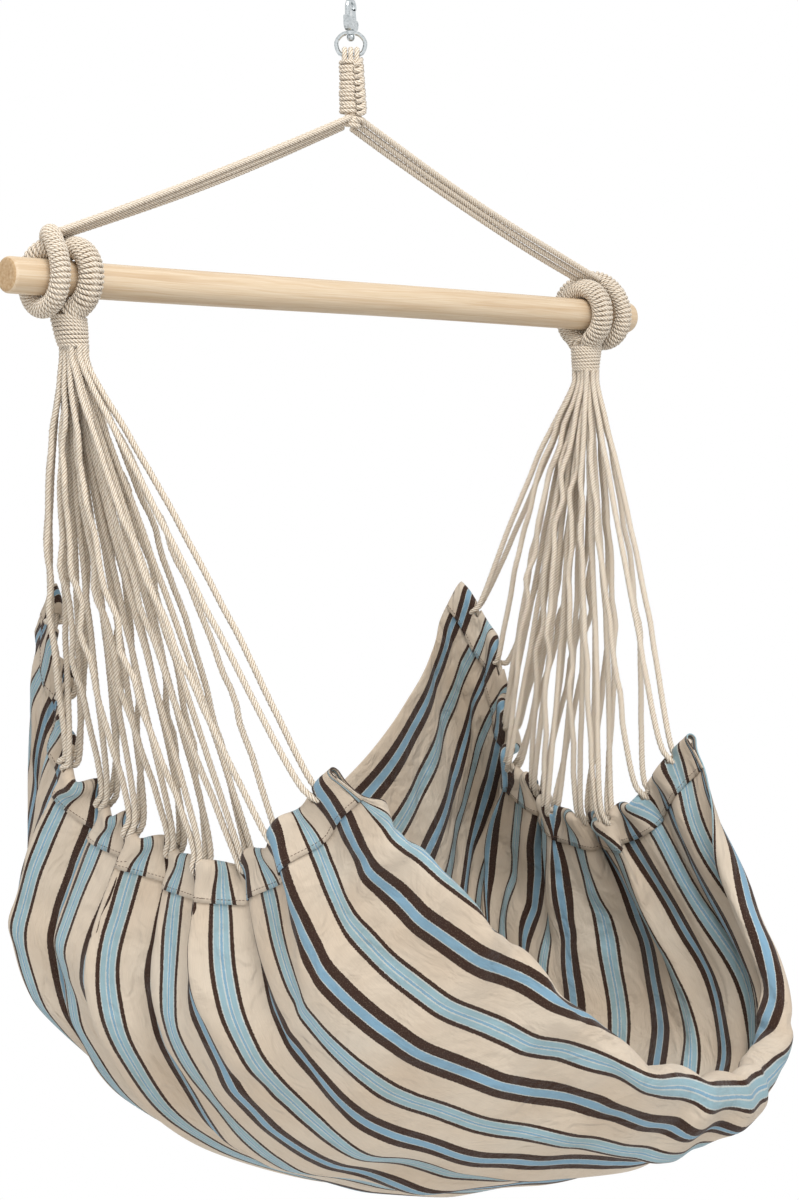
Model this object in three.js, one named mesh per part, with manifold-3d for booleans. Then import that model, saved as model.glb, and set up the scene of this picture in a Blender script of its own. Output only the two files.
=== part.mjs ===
// A hammock chair: a striped canvas seat that hangs from a wooden spreader bar.
// Millimetres, +Z up. The origin is where the snap hook bears on what holds it.
// X runs along the spreader bar, -Y is the sitter's front, and everything hangs below the hook.
import * as THREE from "three";
import { mergeVertices } from "three/addons/utils/BufferGeometryUtils.js";
import Module from "manifold-3d";

const wasm = await Module();
wasm.setup();

// Fits
const CLEARANCE = 0.3;
const SWIVEL_PLAY = 0.4;

// Spreader bar
const BAR_LENGTH = 1000;
const BAR_DIAMETER = 40;
const BAR_DROP = 352;
const BAR_END_ROUNDING = 5;

// Ropes
const FAN_ROPE = 6;
const FAN_LOOPS = 10;
const FAN_ROPE_PITCH = 6.4;
const FAN_SLACK = 26;
const FAN_BOW = 7;
const UPPER_ROPE = 8;
const UPPER_ROPES_PER_SIDE = 3;
const UPPER_ROPE_PITCH = 8.5;

// Hitches on the bar: two served turns, a bight on top and a whipped collar below
const TURN_OUTER_X = BAR_LENGTH / 2 - 48;
const TURN_INNER_X = TURN_OUTER_X - 44;
const TURN_CORE = 12;
const SERVING_CORD = 4.7;
const SERVING_PITCH = 7.4;
const SERVING_LOOPS = 15;
const SERVING_START = 45;
const COLLAR_X = TURN_INNER_X + 8;
const COLLAR_TOP_DROP = 47;
const COLLAR_LENGTH = 33;
const COLLAR_CORE_TOP = 36;
const COLLAR_CORE_BOTTOM = 35;
const WHIPPING_CORD = 2.6;
const WHIPPING_LOOPS = 8;
const BIGHT_RADIUS = 53;
const BIGHT_SPREAD = 70;

// Snap hook, seen nearly edge-on
const HOOK_TURN = 25;
const HOOK_WIRE = 7;
const HOOK_BEND_RADIUS = 9;
const HOOK_THROAT = 19.5;
const HOOK_BASE_THICKNESS = 9.4;
const HOOK_BASE_BOTTOM = 33;
const GATE_WIRE = 5.6;
const GATE_TONGUE = 4.4;
const GATE_LIFT = 2.6;
const GATE_SLOT = 6.6;
const GATE_HEEL = 2.6;
const GATE_PIN = 2.8;
const GATE_PIN_OUT = 10.4;
const GATE_PIN_DROP = 24.6;
const SPRING_WIRE = 0.7;
const SPRING_COIL = 2.6;
const SPRING_TURNS = 3;

// Swivel eye, turned to face the way the crown is seen
const EYE_TURN = -43.4;
const EYE_WIRE = 5.5;
const EYE_HALF_WIDTH = 17.2;
const EYE_HEIGHT = 26.4;
const EYE_BOSS_DIAMETER = 11;
const EYE_BOSS_HEIGHT = 4.4;
const RIVET_SHANK = 4.2;
const RIVET_HEAD = 10;

// Crown: cords over the eye, gathered to a wrapped neck with a knotted spine
const CROWN_CORD = 7;
const CROWN_CORDS = 3;
const CROWN_CORD_PITCH = 7.4;
const NECK_TOP = 70.5;
const NECK_BOTTOM = 134;
const NECK_CORE = 13;
const NECK_CAP = 23;
const NECK_CORD = 4.3;
const NECK_LOOPS = 11;
const SPINE_KNOTS = 8;
const SPINE_DIAMETER = 12;
const SPINE_WAIST = 8;
const SPINE_OUT = 17.9;
const CROWN_KNOT_DIAMETER = 25;
const CROWN_KNOT_HEIGHT = 15;

// Seat cloth and its hems
const CLOTH_THICKNESS = 3.4;
const HEM_DEPTH = 45;
const HEM_WALL = 1.1;
const HEM_PLAY = 1.8;
const HEM_CORD = 7.4;
const HEM_CORD_DROP = 6.2;
const HEM_SECTION_OUTER = 6;
const NOTCH_WIDTH = 9.5;
const PLEATS = 5;
const HEM_PLEAT_DEPTH = 7;
const PLEAT_DEPTH = 22;
const PLEAT_REACH = 0.6;

// The cloth's shape: one row for each stripe line, from the back selvedge to the front lip.
// A row runs from the left hem under the sitter to the right hem.
const CLOTH_ROWS = [
  [[-346, 108, -692], [-338, 192, -800], [-240, 220, -985], [0, 208, -1058], [150, 175, -945], [284, 162, -808],
    [358, 108, -692]],
  [[-352, 80, -900], [-356, 176, -1076], [-260, 134, -1254], [0, 40, -1340], [225, 85, -1235], [382, 178, -1060],
    [352, 80, -900]],
  [[-318, -20, -985], [-334, 18, -1170], [-214, 4, -1342], [0, -125, -1402], [200, -100, -1366], [340, 0, -1180],
    [318, -20, -985]],
  [[-300, -150, -985], [-292, -190, -1150], [-180, -230, -1298], [0, -300, -1362], [185, -330, -1344],
    [322, -270, -1200], [300, -150, -985]],
  [[-291, -284, -879], [-235, -345, -960], [-126, -412, -1096], [12, -466, -1228], [179, -489, -1262],
    [276, -455, -1172], [291, -284, -879]],
];

const SIDES = [
  { name: "left", sign: -1 },
  { name: "right", sign: 1 },
];

const PAINT = {
  zinc: { color: 0xc9ccd0, roughness: 0.28, metalness: 1 },
  wood: { color: 0xe0c498, roughness: 0.6, metalness: 0 },
  rope: { color: 0xe2d6c2, roughness: 0.95, metalness: 0 },
  canvas: { color: 0xdccdb4, roughness: 0.95, metalness: 0 },
};

const up = new THREE.Vector3(0, 0, 1);
const alongBar = new THREE.Vector3(1, 0, 0);
const vec = (x, y, z) => new THREE.Vector3(x, y, z);
const radians = THREE.MathUtils.degToRad;

// Shape helpers

function positionsOnly(geometry) {
  const bare = geometry.clone();
  bare.deleteAttribute("normal");
  bare.deleteAttribute("uv");
  return mergeVertices(bare, 1e-4);
}

function solid(geometry) {
  const merged = positionsOnly(geometry);
  const made = new wasm.Manifold(
    new wasm.Mesh({
      numProp: 3,
      vertProperties: merged.attributes.position.array,
      triVerts: new Uint32Array(merged.index.array),
    }),
  );
  return made;
}

function geometryOf(manifold) {
  const mesh = manifold.getMesh();
  const geometry = new THREE.BufferGeometry();
  geometry.setAttribute("position", new THREE.BufferAttribute(mesh.vertProperties, 3));
  geometry.setIndex(new THREE.BufferAttribute(mesh.triVerts, 1));
  geometry.computeVertexNormals();
  return geometry;
}

function circle(radius, sides) {
  const corner = (i) => {
    const a = (2 * Math.PI * (i + 0.5)) / sides;
    return new THREE.Vector2(radius * Math.cos(a), radius * Math.sin(a));
  };
  return new THREE.Shape(Array.from({ length: sides }, (_, i) => corner(i)));
}

// A round bar or rope along a curve.
function tube(path, diameter, sides, steps) {
  return new THREE.ExtrudeGeometry(circle(diameter / 2, sides), { steps, extrudePath: path });
}

// A route whose tube has one ring at each of its points, and nowhere else.
class Route extends THREE.CatmullRomCurve3 {
  constructor(points) {
    super(points, false, "centripetal");
  }

  getPointAt(share) {
    return this.getPoint(share);
  }

  getTangentAt(share) {
    return this.getTangent(share);
  }
}

function rope(points, diameter, sides) {
  return tube(new Route(points), diameter, sides, points.length - 1);
}

function smooth(points) {
  return new THREE.CatmullRomCurve3(points, false, "centripetal");
}

// A turned piece: profile points are [radius, height], and the axis is Z.
function turned(profile, sides) {
  const points = profile.map(([r, z]) => new THREE.Vector2(r, z));
  return new THREE.LatheGeometry(points, sides).rotateX(Math.PI / 2);
}

function cylinder(diameter, bottom, top, sides) {
  const r = diameter / 2;
  return turned([[0, bottom], [r, bottom], [r, top], [0, top]], sides);
}

// The faces between rings of points. From innerFrom on they are split along the other diagonal,
// so that both faces of a thin wall bend alike.
function sideFaces(rings, innerFrom) {
  const size = rings[0].length;
  const faces = [];
  for (let i = 0; i + 1 < rings.length; i++) {
    for (let k = 0; k < size; k++) {
      const a = i * size + k;
      const b = i * size + ((k + 1) % size);
      if (k < innerFrom) {
        faces.push(a, b, b + size, a, b + size, a + size);
      } else {
        faces.push(a, b, a + size, b, b + size, a + size);
      }
    }
  }
  return faces;
}

// Rings of points joined side by side into one closed skin, with both ends capped.
function skin(rings, innerFrom = Infinity) {
  const size = rings[0].length;
  const positions = [];
  const faces = sideFaces(rings, innerFrom);
  rings.forEach((ring) => ring.forEach((p) => positions.push(p.x, p.y, p.z)));
  const last = (rings.length - 1) * size;
  const caps = THREE.ShapeUtils.triangulateShape(flattened(rings[0]), []);
  const endCaps = THREE.ShapeUtils.triangulateShape(flattened(rings[rings.length - 1]), []);
  caps.forEach(([a, b, c]) => faces.push(a, c, b));
  endCaps.forEach(([a, b, c]) => faces.push(last + a, last + b, last + c));
  const geometry = new THREE.BufferGeometry();
  geometry.setAttribute("position", new THREE.Float32BufferAttribute(positions, 3));
  geometry.setIndex(faces);
  return outward(geometry);
}

// A ring's outline in its own plane, counter-clockwise as its points run.
function flattened(ring) {
  const centre = ring.reduce((sum, p) => sum.add(p), vec(0, 0, 0)).divideScalar(ring.length);
  const normal = vec(0, 0, 0);
  ring.forEach((p, k) => {
    const q = ring[(k + 1) % ring.length];
    normal.add(p.clone().sub(centre).cross(q.clone().sub(centre)));
  });
  normal.normalize();
  const across = ring[0].clone().sub(centre).projectOnPlane(normal).normalize();
  const along = normal.clone().cross(across);
  return ring.map((p) => {
    const d = p.clone().sub(centre);
    return new THREE.Vector2(d.dot(across), d.dot(along));
  });
}

function signedVolume(geometry) {
  const p = geometry.attributes.position;
  const index = geometry.index;
  const [a, b, c] = [vec(0, 0, 0), vec(0, 0, 0), vec(0, 0, 0)];
  let sum = 0;
  for (let i = 0; i < index.count; i += 3) {
    a.fromBufferAttribute(p, index.getX(i));
    b.fromBufferAttribute(p, index.getX(i + 1));
    c.fromBufferAttribute(p, index.getX(i + 2));
    sum += a.dot(b.cross(c)) / 6;
  }
  return sum;
}

function outward(geometry) {
  if (signedVolume(geometry) < 0) {
    const index = geometry.index;
    for (let i = 0; i < index.count; i += 3) {
      const kept = index.getX(i + 1);
      index.setX(i + 1, index.getX(i + 2));
      index.setX(i + 2, kept);
    }
  }
  return geometry;
}

// A cord wound round a guide. The guide gives a place, a way along and a first side for a share 0 to 1.
function winding(guide, { loops, radius, cord, stepsPerLoop, sides, name }) {
  const steps = loops * stepsPerLoop;
  const centre = (i) => {
    const { place, along, side } = guide(i / steps);
    const turn = (2 * Math.PI * i) / stepsPerLoop;
    return place.clone().add(side.clone().multiplyScalar(radius(i / steps)).applyAxisAngle(along, turn));
  };
  const middle = Array.from({ length: steps + 1 }, (_, i) => centre(i));
  const first = middle[0].clone().sub(middle[1]).setLength(cord);
  const last = middle[steps].clone().sub(middle[steps - 1]).setLength(cord);
  const line = [middle[0].clone().add(first), ...middle, middle[steps].clone().add(last)];
  const rings = line.map((point, i) => {
    const before = line[Math.max(i - 1, 0)];
    const after = line[Math.min(i + 1, line.length - 1)];
    const tangent = after.clone().sub(before).normalize();
    const share = THREE.MathUtils.clamp((i - 1) / steps, 0, 1);
    const { place } = guide(share);
    const out = point.clone().sub(place).projectOnPlane(tangent).normalize();
    const beside = tangent.clone().cross(out);
    return Array.from({ length: sides }, (_, k) => {
      const a = (2 * Math.PI * k) / sides;
      const reach = out.clone().multiplyScalar(Math.cos(a)).addScaledVector(beside, Math.sin(a));
      return point.clone().addScaledVector(reach, cord / 2);
    });
  });
  const apart = leastGap(line, cord, stepsPerLoop);
  console.log(name + ": least gap to itself " + apart.toFixed(2) + " mm");
  return skin(rings);
}

// The least distance between neighbouring loops of a wound line, less the cord's thickness.
function leastGap(line, cord, stepsPerLoop) {
  let least = Infinity;
  for (let i = 0; i < line.length; i++) {
    for (let j = i + Math.floor(stepsPerLoop / 2); j + 1 < line.length; j++) {
      const part = new THREE.Line3(line[j], line[j + 1]);
      const near = part.closestPointToPoint(line[i], true, vec(0, 0, 0));
      least = Math.min(least, near.distanceTo(line[i]) - cord);
    }
  }
  return least;
}

// The cloth's surface

const clothRows = CLOTH_ROWS.map((row) => {
  const points = row.map(([x, y, z]) => vec(x, y, z));
  return new THREE.CatmullRomCurve3(points, false, "catmullrom", 0.5);
});

// A point of the smooth cloth. u runs from the left hem (0) to the right hem (1), v from the back to the front.
function clothPlain(u, v) {
  const column = clothRows.map((row) => row.getPoint(u));
  return new THREE.CatmullRomCurve3(column, false, "catmullrom", 0.5).getPoint(v);
}

function clothNormal(u, v) {
  const step = 0.01;
  const [u0, u1] = [Math.max(u - step, 0), Math.min(u + step, 1)];
  const [v0, v1] = [Math.max(v - step, 0), Math.min(v + step, 1)];
  const alongU = clothPlain(u1, v).sub(clothPlain(u0, v));
  const alongV = clothPlain(u, v1).sub(clothPlain(u, v0));
  return alongU.cross(alongV).normalize();
}

// How far the pleats stand out: they start at the hems, are deepest below them and are gone under the sitter.
function pleat(u, v) {
  const fromMiddle = Math.abs(2 * u - 1);
  const below = Math.min(1, (1 - fromMiddle) / PLEAT_REACH);
  const swell = HEM_PLEAT_DEPTH + 4 * (PLEAT_DEPTH - HEM_PLEAT_DEPTH) * below * (1 - below);
  const edges = Math.min(1, 5 * v, 8 * (1 - v));
  return swell * Math.pow(fromMiddle, 1.5) * edges * Math.sin(2 * Math.PI * PLEATS * v);
}

function cloth(u, v) {
  return clothPlain(u, v).addScaledVector(clothNormal(u, v), pleat(u, v));
}

// The share u at which the cloth has run a distance down from a hem.
function hemShare(side, v, distance) {
  const step = 0.004;
  const from = (share) => (side.sign < 0 ? share : 1 - share);
  let share = 0;
  let run = 0;
  let before = clothPlain(from(0), v);
  while (run < distance) {
    share += step;
    const next = clothPlain(from(share), v);
    const stretch = next.distanceTo(before);
    if (run + stretch >= distance) {
      return from(share - step * (1 - (distance - run) / stretch));
    }
    run += stretch;
    before = next;
  }
  return from(share);
}

// At a hem: the edge's place, the ways along the hem, down the cloth and in to the seat, and the fold's foot.
function hemFrame(side, v) {
  const from = (u) => (side.sign < 0 ? u : 1 - u);
  const edge = cloth(from(0), v);
  const foot = hemShare(side, v, HEM_DEPTH);
  const low = cloth(foot, v);
  const step = 0.01;
  const along = cloth(from(0), Math.min(v + step, 1)).sub(cloth(from(0), Math.max(v - step, 0))).normalize();
  const down = low.clone().sub(edge).projectOnPlane(along).normalize();
  const inward = along.clone().cross(down).multiplyScalar(-side.sign).normalize();
  const footIn = clothNormal(foot, v);
  footIn.multiplyScalar(Math.sign(footIn.dot(inward)));
  return { edge, low, down, inward, along, footIn };
}

// Parts

const chair = new THREE.Group();
const hookGroup = new THREE.Group();
const eyeGroup = new THREE.Group();
const seatGroup = new THREE.Group();
hookGroup.rotation.z = radians(HOOK_TURN);
eyeGroup.rotation.z = radians(EYE_TURN);
chair.add(hookGroup, eyeGroup, seatGroup);

function part(group, name, geometry, paint) {
  const mesh = new THREE.Mesh(geometry, new THREE.MeshStandardMaterial(PAINT[paint]));
  mesh.name = name;
  group.add(mesh);
  return mesh;
}

// Snap hook: the wire bends over the top, and the base holds the gate and the rivet. Its plane is XZ.
const bendCentre = HOOK_WIRE / 2 - HOOK_BEND_RADIUS;
const slotFloor = GATE_PIN_DROP + GATE_HEEL + 2;
const spring = { x: GATE_PIN_OUT - 3.2, bottom: HOOK_BASE_BOTTOM - 0.9, top: GATE_PIN_DROP + GATE_HEEL + CLEARANCE };

function snapHook() {
  const arc = Array.from({ length: 9 }, (_, i) => {
    const a = Math.PI * (1 - i / 8);
    return vec(HOOK_BEND_RADIUS * Math.cos(a), 0, bendCentre + HOOK_BEND_RADIUS * Math.sin(a));
  });
  const foot = [vec(-HOOK_BEND_RADIUS, 0, -HOOK_THROAT - 3), vec(-HOOK_BEND_RADIUS, 0, -HOOK_THROAT / 2)];
  const nose = vec(HOOK_BEND_RADIUS - 0.4, 0, bendCentre - 1.6);
  const wire = solid(tube(smooth([...foot, ...arc, nose]), HOOK_WIRE, 10, 18));
  const edge = HOOK_BEND_RADIUS + HOOK_WIRE / 2;
  const outline = new THREE.Shape();
  outline.moveTo(-edge, -HOOK_THROAT + 4);
  outline.quadraticCurveTo(-edge + 6.5, -HOOK_THROAT + 1, -edge + 9, -HOOK_THROAT);
  outline.lineTo(edge - 4, -HOOK_THROAT);
  outline.quadraticCurveTo(edge + 1.4, -HOOK_THROAT, edge + 1.4, -GATE_PIN_DROP);
  outline.quadraticCurveTo(edge + 1, -HOOK_BASE_BOTTOM + 1, 8, -HOOK_BASE_BOTTOM);
  outline.lineTo(-7, -HOOK_BASE_BOTTOM);
  outline.quadraticCurveTo(-edge, -HOOK_BASE_BOTTOM + 3, -edge, -HOOK_THROAT - 3);
  const base = new THREE.ExtrudeGeometry(outline, {
    depth: HOOK_BASE_THICKNESS - 2,
    bevelThickness: 1,
    bevelSize: 0.8,
    bevelOffset: -0.8,
    bevelSegments: 1,
    curveSegments: 4,
  });
  base.translate(0, 0, 1 - HOOK_BASE_THICKNESS / 2).rotateX(Math.PI / 2);
  const slot = new THREE.BoxGeometry(20, GATE_TONGUE + 2 * CLEARANCE, 20);
  slot.translate(GATE_PIN_OUT - GATE_SLOT + 10, 0, -slotFloor + 10);
  const pocket = cylinder(SPRING_COIL + SPRING_WIRE + 2 * CLEARANCE, -spring.bottom - CLEARANCE, -slotFloor + 1, 12);
  pocket.translate(spring.x, 0, 0);
  const pinBore = cylinder(GATE_PIN + 2 * CLEARANCE, -10, 10, 16);
  pinBore.rotateX(Math.PI / 2).translate(GATE_PIN_OUT, 0, -GATE_PIN_DROP);
  const rivetBore = cylinder(RIVET_SHANK + 2 * SWIVEL_PLAY, -2 * HOOK_BASE_BOTTOM, 0, 16);
  return wire
    .add(solid(base))
    .subtract(solid(slot))
    .subtract(solid(pocket))
    .subtract(solid(pinBore))
    .subtract(solid(rivetBore));
}
part(hookGroup, "snap_hook", geometryOf(snapHook()), "zinc");

function gate() {
  const top = bendCentre - 1.6 - 4 * CLEARANCE;
  const bar = tube(
    new THREE.LineCurve3(vec(GATE_PIN_OUT - 1, 0, -HOOK_THROAT + GATE_LIFT), vec(HOOK_BEND_RADIUS - 0.6, 0, top)),
    GATE_WIRE, 12, 1,
  );
  const tongue = new THREE.Shape();
  tongue.moveTo(GATE_PIN_OUT - 3.6, -HOOK_THROAT + GATE_LIFT + 1.6);
  tongue.lineTo(GATE_PIN_OUT + 1.6, -HOOK_THROAT + GATE_LIFT + 1.6);
  tongue.lineTo(GATE_PIN_OUT + GATE_HEEL, -GATE_PIN_DROP);
  tongue.absarc(GATE_PIN_OUT, -GATE_PIN_DROP, GATE_HEEL, 0, -Math.PI / 2, true);
  tongue.lineTo(GATE_PIN_OUT - 4.6, -GATE_PIN_DROP - GATE_HEEL);
  const plate = new THREE.ExtrudeGeometry(tongue, { depth: GATE_TONGUE, bevelEnabled: false, curveSegments: 4 });
  plate.translate(0, 0, -GATE_TONGUE / 2).rotateX(Math.PI / 2);
  const bore = cylinder(GATE_PIN + 2 * CLEARANCE, -10, 10, 16);
  bore.rotateX(Math.PI / 2).translate(GATE_PIN_OUT, 0, -GATE_PIN_DROP);
  return solid(bar).add(solid(plate)).subtract(solid(bore));
}
part(hookGroup, "hook_gate", geometryOf(gate()), "zinc");

const pin = cylinder(GATE_PIN, -HOOK_BASE_THICKNESS / 2 + 0.2, HOOK_BASE_THICKNESS / 2 - 0.2, 14);
pin.rotateX(Math.PI / 2).translate(GATE_PIN_OUT, 0, -GATE_PIN_DROP);
part(hookGroup, "gate_pin", pin, "zinc");

const springPitch = (spring.bottom - spring.top - SPRING_WIRE) / SPRING_TURNS;
const springGuide = (t) => ({
  place: vec(spring.x, 0, -spring.bottom + SPRING_WIRE / 2 + t * springPitch * SPRING_TURNS),
  along: up,
  side: vec(1, 0, 0),
});
part(hookGroup, "gate_spring", winding(springGuide, {
  loops: SPRING_TURNS, radius: () => SPRING_COIL / 2, cord: SPRING_WIRE, stepsPerLoop: 8, sides: 3, name: "gate_spring",
}), "zinc");

// Rivet: a small head in the throat, the shank, and a ball head inside the eye.
const bossTop = -HOOK_BASE_BOTTOM - CLEARANCE;
const bossBottom = bossTop - EYE_BOSS_HEIGHT;
const headTop = bossBottom - CLEARANCE;
function rivet() {
  const r = RIVET_HEAD / 2;
  const profile = [[0, -HOOK_THROAT + 2], [2.6, -HOOK_THROAT + 1.6], [3.4, -HOOK_THROAT + CLEARANCE]];
  profile.push([RIVET_SHANK / 2, -HOOK_THROAT + CLEARANCE], [RIVET_SHANK / 2, headTop], [0.8 * r, headTop]);
  for (let i = 0; i <= 5; i++) {
    const a = radians(37 - i * 25.4);
    profile.push([Math.max(r * Math.cos(a), 0), headTop - 0.6 * r + r * Math.sin(a)]);
  }
  return turned(profile.reverse(), 10);
}
part(hookGroup, "swivel_rivet", rivet(), "zinc");

// Swivel eye: a boss with the rivet's bore and a D-shaped ring below it. Its plane is XZ.
const ringTop = (bossTop + bossBottom) / 2;
const ringBottom = ringTop - EYE_HEIGHT;
function swivelEye() {
  const w = EYE_HALF_WIDTH;
  const ring = smooth([
    vec(-2, 0, ringTop), vec(-0.55 * w, 0, ringTop - 1.6), vec(-w, 0, ringTop - 0.42 * EYE_HEIGHT),
    vec(-0.8 * w, 0, ringBottom + 2.6), vec(-0.42 * w, 0, ringBottom), vec(0, 0, ringBottom),
    vec(0.42 * w, 0, ringBottom), vec(0.8 * w, 0, ringBottom + 2.6),
    vec(w, 0, ringTop - 0.42 * EYE_HEIGHT), vec(0.55 * w, 0, ringTop - 1.6), vec(2, 0, ringTop),
  ]);
  const boss = cylinder(EYE_BOSS_DIAMETER, bossBottom, bossTop, 12);
  const trim = cylinder(3 * EYE_BOSS_DIAMETER, bossTop, bossTop + 10, 8);
  const bore = cylinder(RIVET_SHANK + 2 * SWIVEL_PLAY, bossBottom - 1, bossTop + 1, 12);
  const room = cylinder(RIVET_HEAD + 2 * SWIVEL_PLAY, headTop - 0.62 * RIVET_HEAD, bossBottom, 12);
  const tubeSolid = solid(tube(ring, EYE_WIRE, 8, 28));
  return tubeSolid.add(solid(boss)).subtract(solid(trim)).subtract(solid(bore)).subtract(solid(room));
}
part(eyeGroup, "swivel_eye", geometryOf(swivelEye()), "zinc");

// Crown: cords over the eye's lower wire, a wrapped neck, a knotted spine and the gathering knot.
function crownCords() {
  const bend = EYE_WIRE / 2 + CROWN_CORD / 2 + 2 * CLEARANCE;
  const foot = -NECK_TOP + CLEARANCE;
  for (let i = 0; i < CROWN_CORDS; i++) {
    const x = (i - (CROWN_CORDS - 1) / 2) * CROWN_CORD_PITCH;
    const over = Array.from({ length: 7 }, (_, k) => {
      const a = (Math.PI * k) / 6;
      return vec(x, -bend * Math.cos(a), ringBottom + bend * Math.sin(a));
    });
    const route = [vec(x, -bend, foot), ...over, vec(x, bend, foot)];
    part(tiedGroup, "crown_loop_" + (i + 1), rope(route, CROWN_CORD, 7), "rope");
  }
}

// The crown is tied round the eye, so its pieces share the eye's turn.
const tiedGroup = new THREE.Group();
tiedGroup.rotation.z = radians(EYE_TURN);
seatGroup.add(tiedGroup);
crownCords();

const neckCore = turned([
  [0, -NECK_BOTTOM], [NECK_CORE / 2 + 1.5, -NECK_BOTTOM], [NECK_CORE / 2, -NECK_BOTTOM + 3],
  [NECK_CORE / 2, -NECK_TOP - 2.6], [NECK_CAP / 2, -NECK_TOP - 2], [NECK_CAP / 2, -NECK_TOP - 0.8],
  [NECK_CAP / 2 - 0.8, -NECK_TOP], [0, -NECK_TOP],
], 16);
part(tiedGroup, "crown_neck", neckCore, "rope");

const neckWound = { top: -NECK_TOP - 2.6 - NECK_CORD / 2 - 0.6, bottom: -NECK_BOTTOM + 3.4 + NECK_CORD / 2 };
const neckGuide = (t) => ({
  place: vec(0, 0, THREE.MathUtils.lerp(neckWound.bottom, neckWound.top, t)),
  along: up,
  side: vec(-1, 0, 0),
});
const neckLoopRadius = (NECK_CORE / 2 + CLEARANCE + NECK_CORD / 2) / Math.cos(Math.PI / 8);
part(tiedGroup, "crown_winding", winding(neckGuide, {
  loops: NECK_LOOPS, radius: () => neckLoopRadius, cord: NECK_CORD, stepsPerLoop: 8, sides: 4, name: "crown_winding",
}), "rope");

function crownSpine() {
  const foot = -NECK_BOTTOM + 1;
  const pitch = (NECK_BOTTOM - NECK_TOP - 2) / SPINE_KNOTS;
  const profile = [[0, foot]];
  for (let i = 0; i < SPINE_KNOTS; i++) {
    const z = foot + i * pitch;
    profile.push([SPINE_WAIST / 2, z], [SPINE_DIAMETER / 2, z + 0.3 * pitch], [SPINE_DIAMETER / 2, z + 0.7 * pitch]);
  }
  profile.push([SPINE_WAIST / 2, foot + SPINE_KNOTS * pitch], [0, foot + SPINE_KNOTS * pitch]);
  return turned(profile, 7).translate(SPINE_OUT, 0, 0);
}
part(tiedGroup, "crown_spine", crownSpine(), "rope");

function crownKnot() {
  const profile = [];
  const [r, h] = [CROWN_KNOT_DIAMETER / 2, CROWN_KNOT_HEIGHT / 2];
  for (let i = 0; i <= 6; i++) {
    const a = radians(-90 + i * 30);
    profile.push([Math.max(r * Math.cos(a), 0), h * Math.sin(a) - NECK_BOTTOM - CLEARANCE - h]);
  }
  return turned(profile, 10);
}
const knot = solid(crownKnot());

// Spreader bar: a turned pole with rounded ends.
function spreaderBar() {
  const r = BAR_DIAMETER / 2;
  const half = BAR_LENGTH / 2;
  const round = BAR_END_ROUNDING;
  const end = [0, 45, 90].map((a) => [
    r - round + round * Math.cos(radians(a)),
    half - round + round * Math.sin(radians(a)),
  ]);
  const profile = [...end.map(([a, z]) => [a, -z]).reverse(), ...end];
  return turned([[0, -half], ...profile, [0, half]], 20).rotateY(Math.PI / 2).translate(0, 0, -BAR_DROP);
}
part(seatGroup, "spreader_bar", spreaderBar(), "wood");

// Hitches
const servingLoopRadius = (TURN_CORE / 2 + CLEARANCE + SERVING_CORD / 2) / Math.cos(Math.PI / 7);
const turnRadius = BAR_DIAMETER / 2 + CLEARANCE + servingLoopRadius + SERVING_CORD / 2;
const collarTop = -BAR_DROP - COLLAR_TOP_DROP;
const collarBottom = collarTop - COLLAR_LENGTH;
const servingArc = THREE.MathUtils.radToDeg((SERVING_LOOPS * SERVING_PITCH) / turnRadius);

// A place on a turn round the bar: 0 degrees is under the bar, 90 in front of it.
function onTurn(x, degrees, radius = turnRadius) {
  const a = radians(degrees);
  return vec(x, -radius * Math.sin(a), -BAR_DROP - radius * Math.cos(a));
}

function hitchCore(sign) {
  const ring = (x) => {
    const geometry = new THREE.TorusGeometry(turnRadius, TURN_CORE / 2, 6, 20);
    return solid(geometry.rotateY(Math.PI / 2).translate(sign * x, 0, -BAR_DROP));
  };
  const strand = (x, into) => {
    const path = smooth([
      vec(sign * x, 0, -BAR_DROP - turnRadius - 1),
      vec(sign * (x + into) / 2, 0, collarTop + 3),
      vec(sign * into, 0, collarTop - 6),
    ]);
    return solid(tube(path, TURN_CORE, 7, 3));
  };
  const collar = turned([
    [0, collarBottom], [COLLAR_CORE_BOTTOM / 2, collarBottom],
    [COLLAR_CORE_TOP / 2, collarTop - 4], [COLLAR_CORE_TOP / 2 - 4, collarTop], [0, collarTop],
  ], 20).translate(sign * COLLAR_X, 0, 0);
  return ring(TURN_OUTER_X)
    .add(ring(TURN_INNER_X))
    .add(strand(TURN_OUTER_X, COLLAR_X + 5))
    .add(strand(TURN_INNER_X, COLLAR_X - 5))
    .add(solid(collar));
}

// The bight that ties the two turns over the bar, bored for the ends of the upper ropes.
function hitchBight(sign, ropes) {
  const shape = new THREE.Shape();
  const inner = BAR_DIAMETER / 2 + CLEARANCE + 0.3;
  const from = radians(90 - BIGHT_SPREAD / 2);
  const to = radians(90 + BIGHT_SPREAD / 2);
  shape.absarc(0, 0, BIGHT_RADIUS, from, to, false);
  shape.absarc(0, 0, inner, to, from, true);
  const served = 2 * (servingLoopRadius + SERVING_CORD / 2);
  const width = TURN_OUTER_X - TURN_INNER_X - served - 2 * CLEARANCE;
  const middle = (TURN_OUTER_X + TURN_INNER_X) / 2;
  const block = new THREE.ExtrudeGeometry(shape, {
    depth: width - 4, bevelThickness: 2, bevelSize: 2, bevelOffset: -2, bevelSegments: 1, curveSegments: 5,
  });
  block.translate(0, 0, 2 - width / 2).rotateX(Math.PI / 2).rotateZ(Math.PI / 2);
  block.translate(sign * middle, 0, -BAR_DROP);
  let made = solid(block);
  ropes.forEach((rope) => {
    made = made.subtract(rope);
  });
  return made;
}

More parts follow.
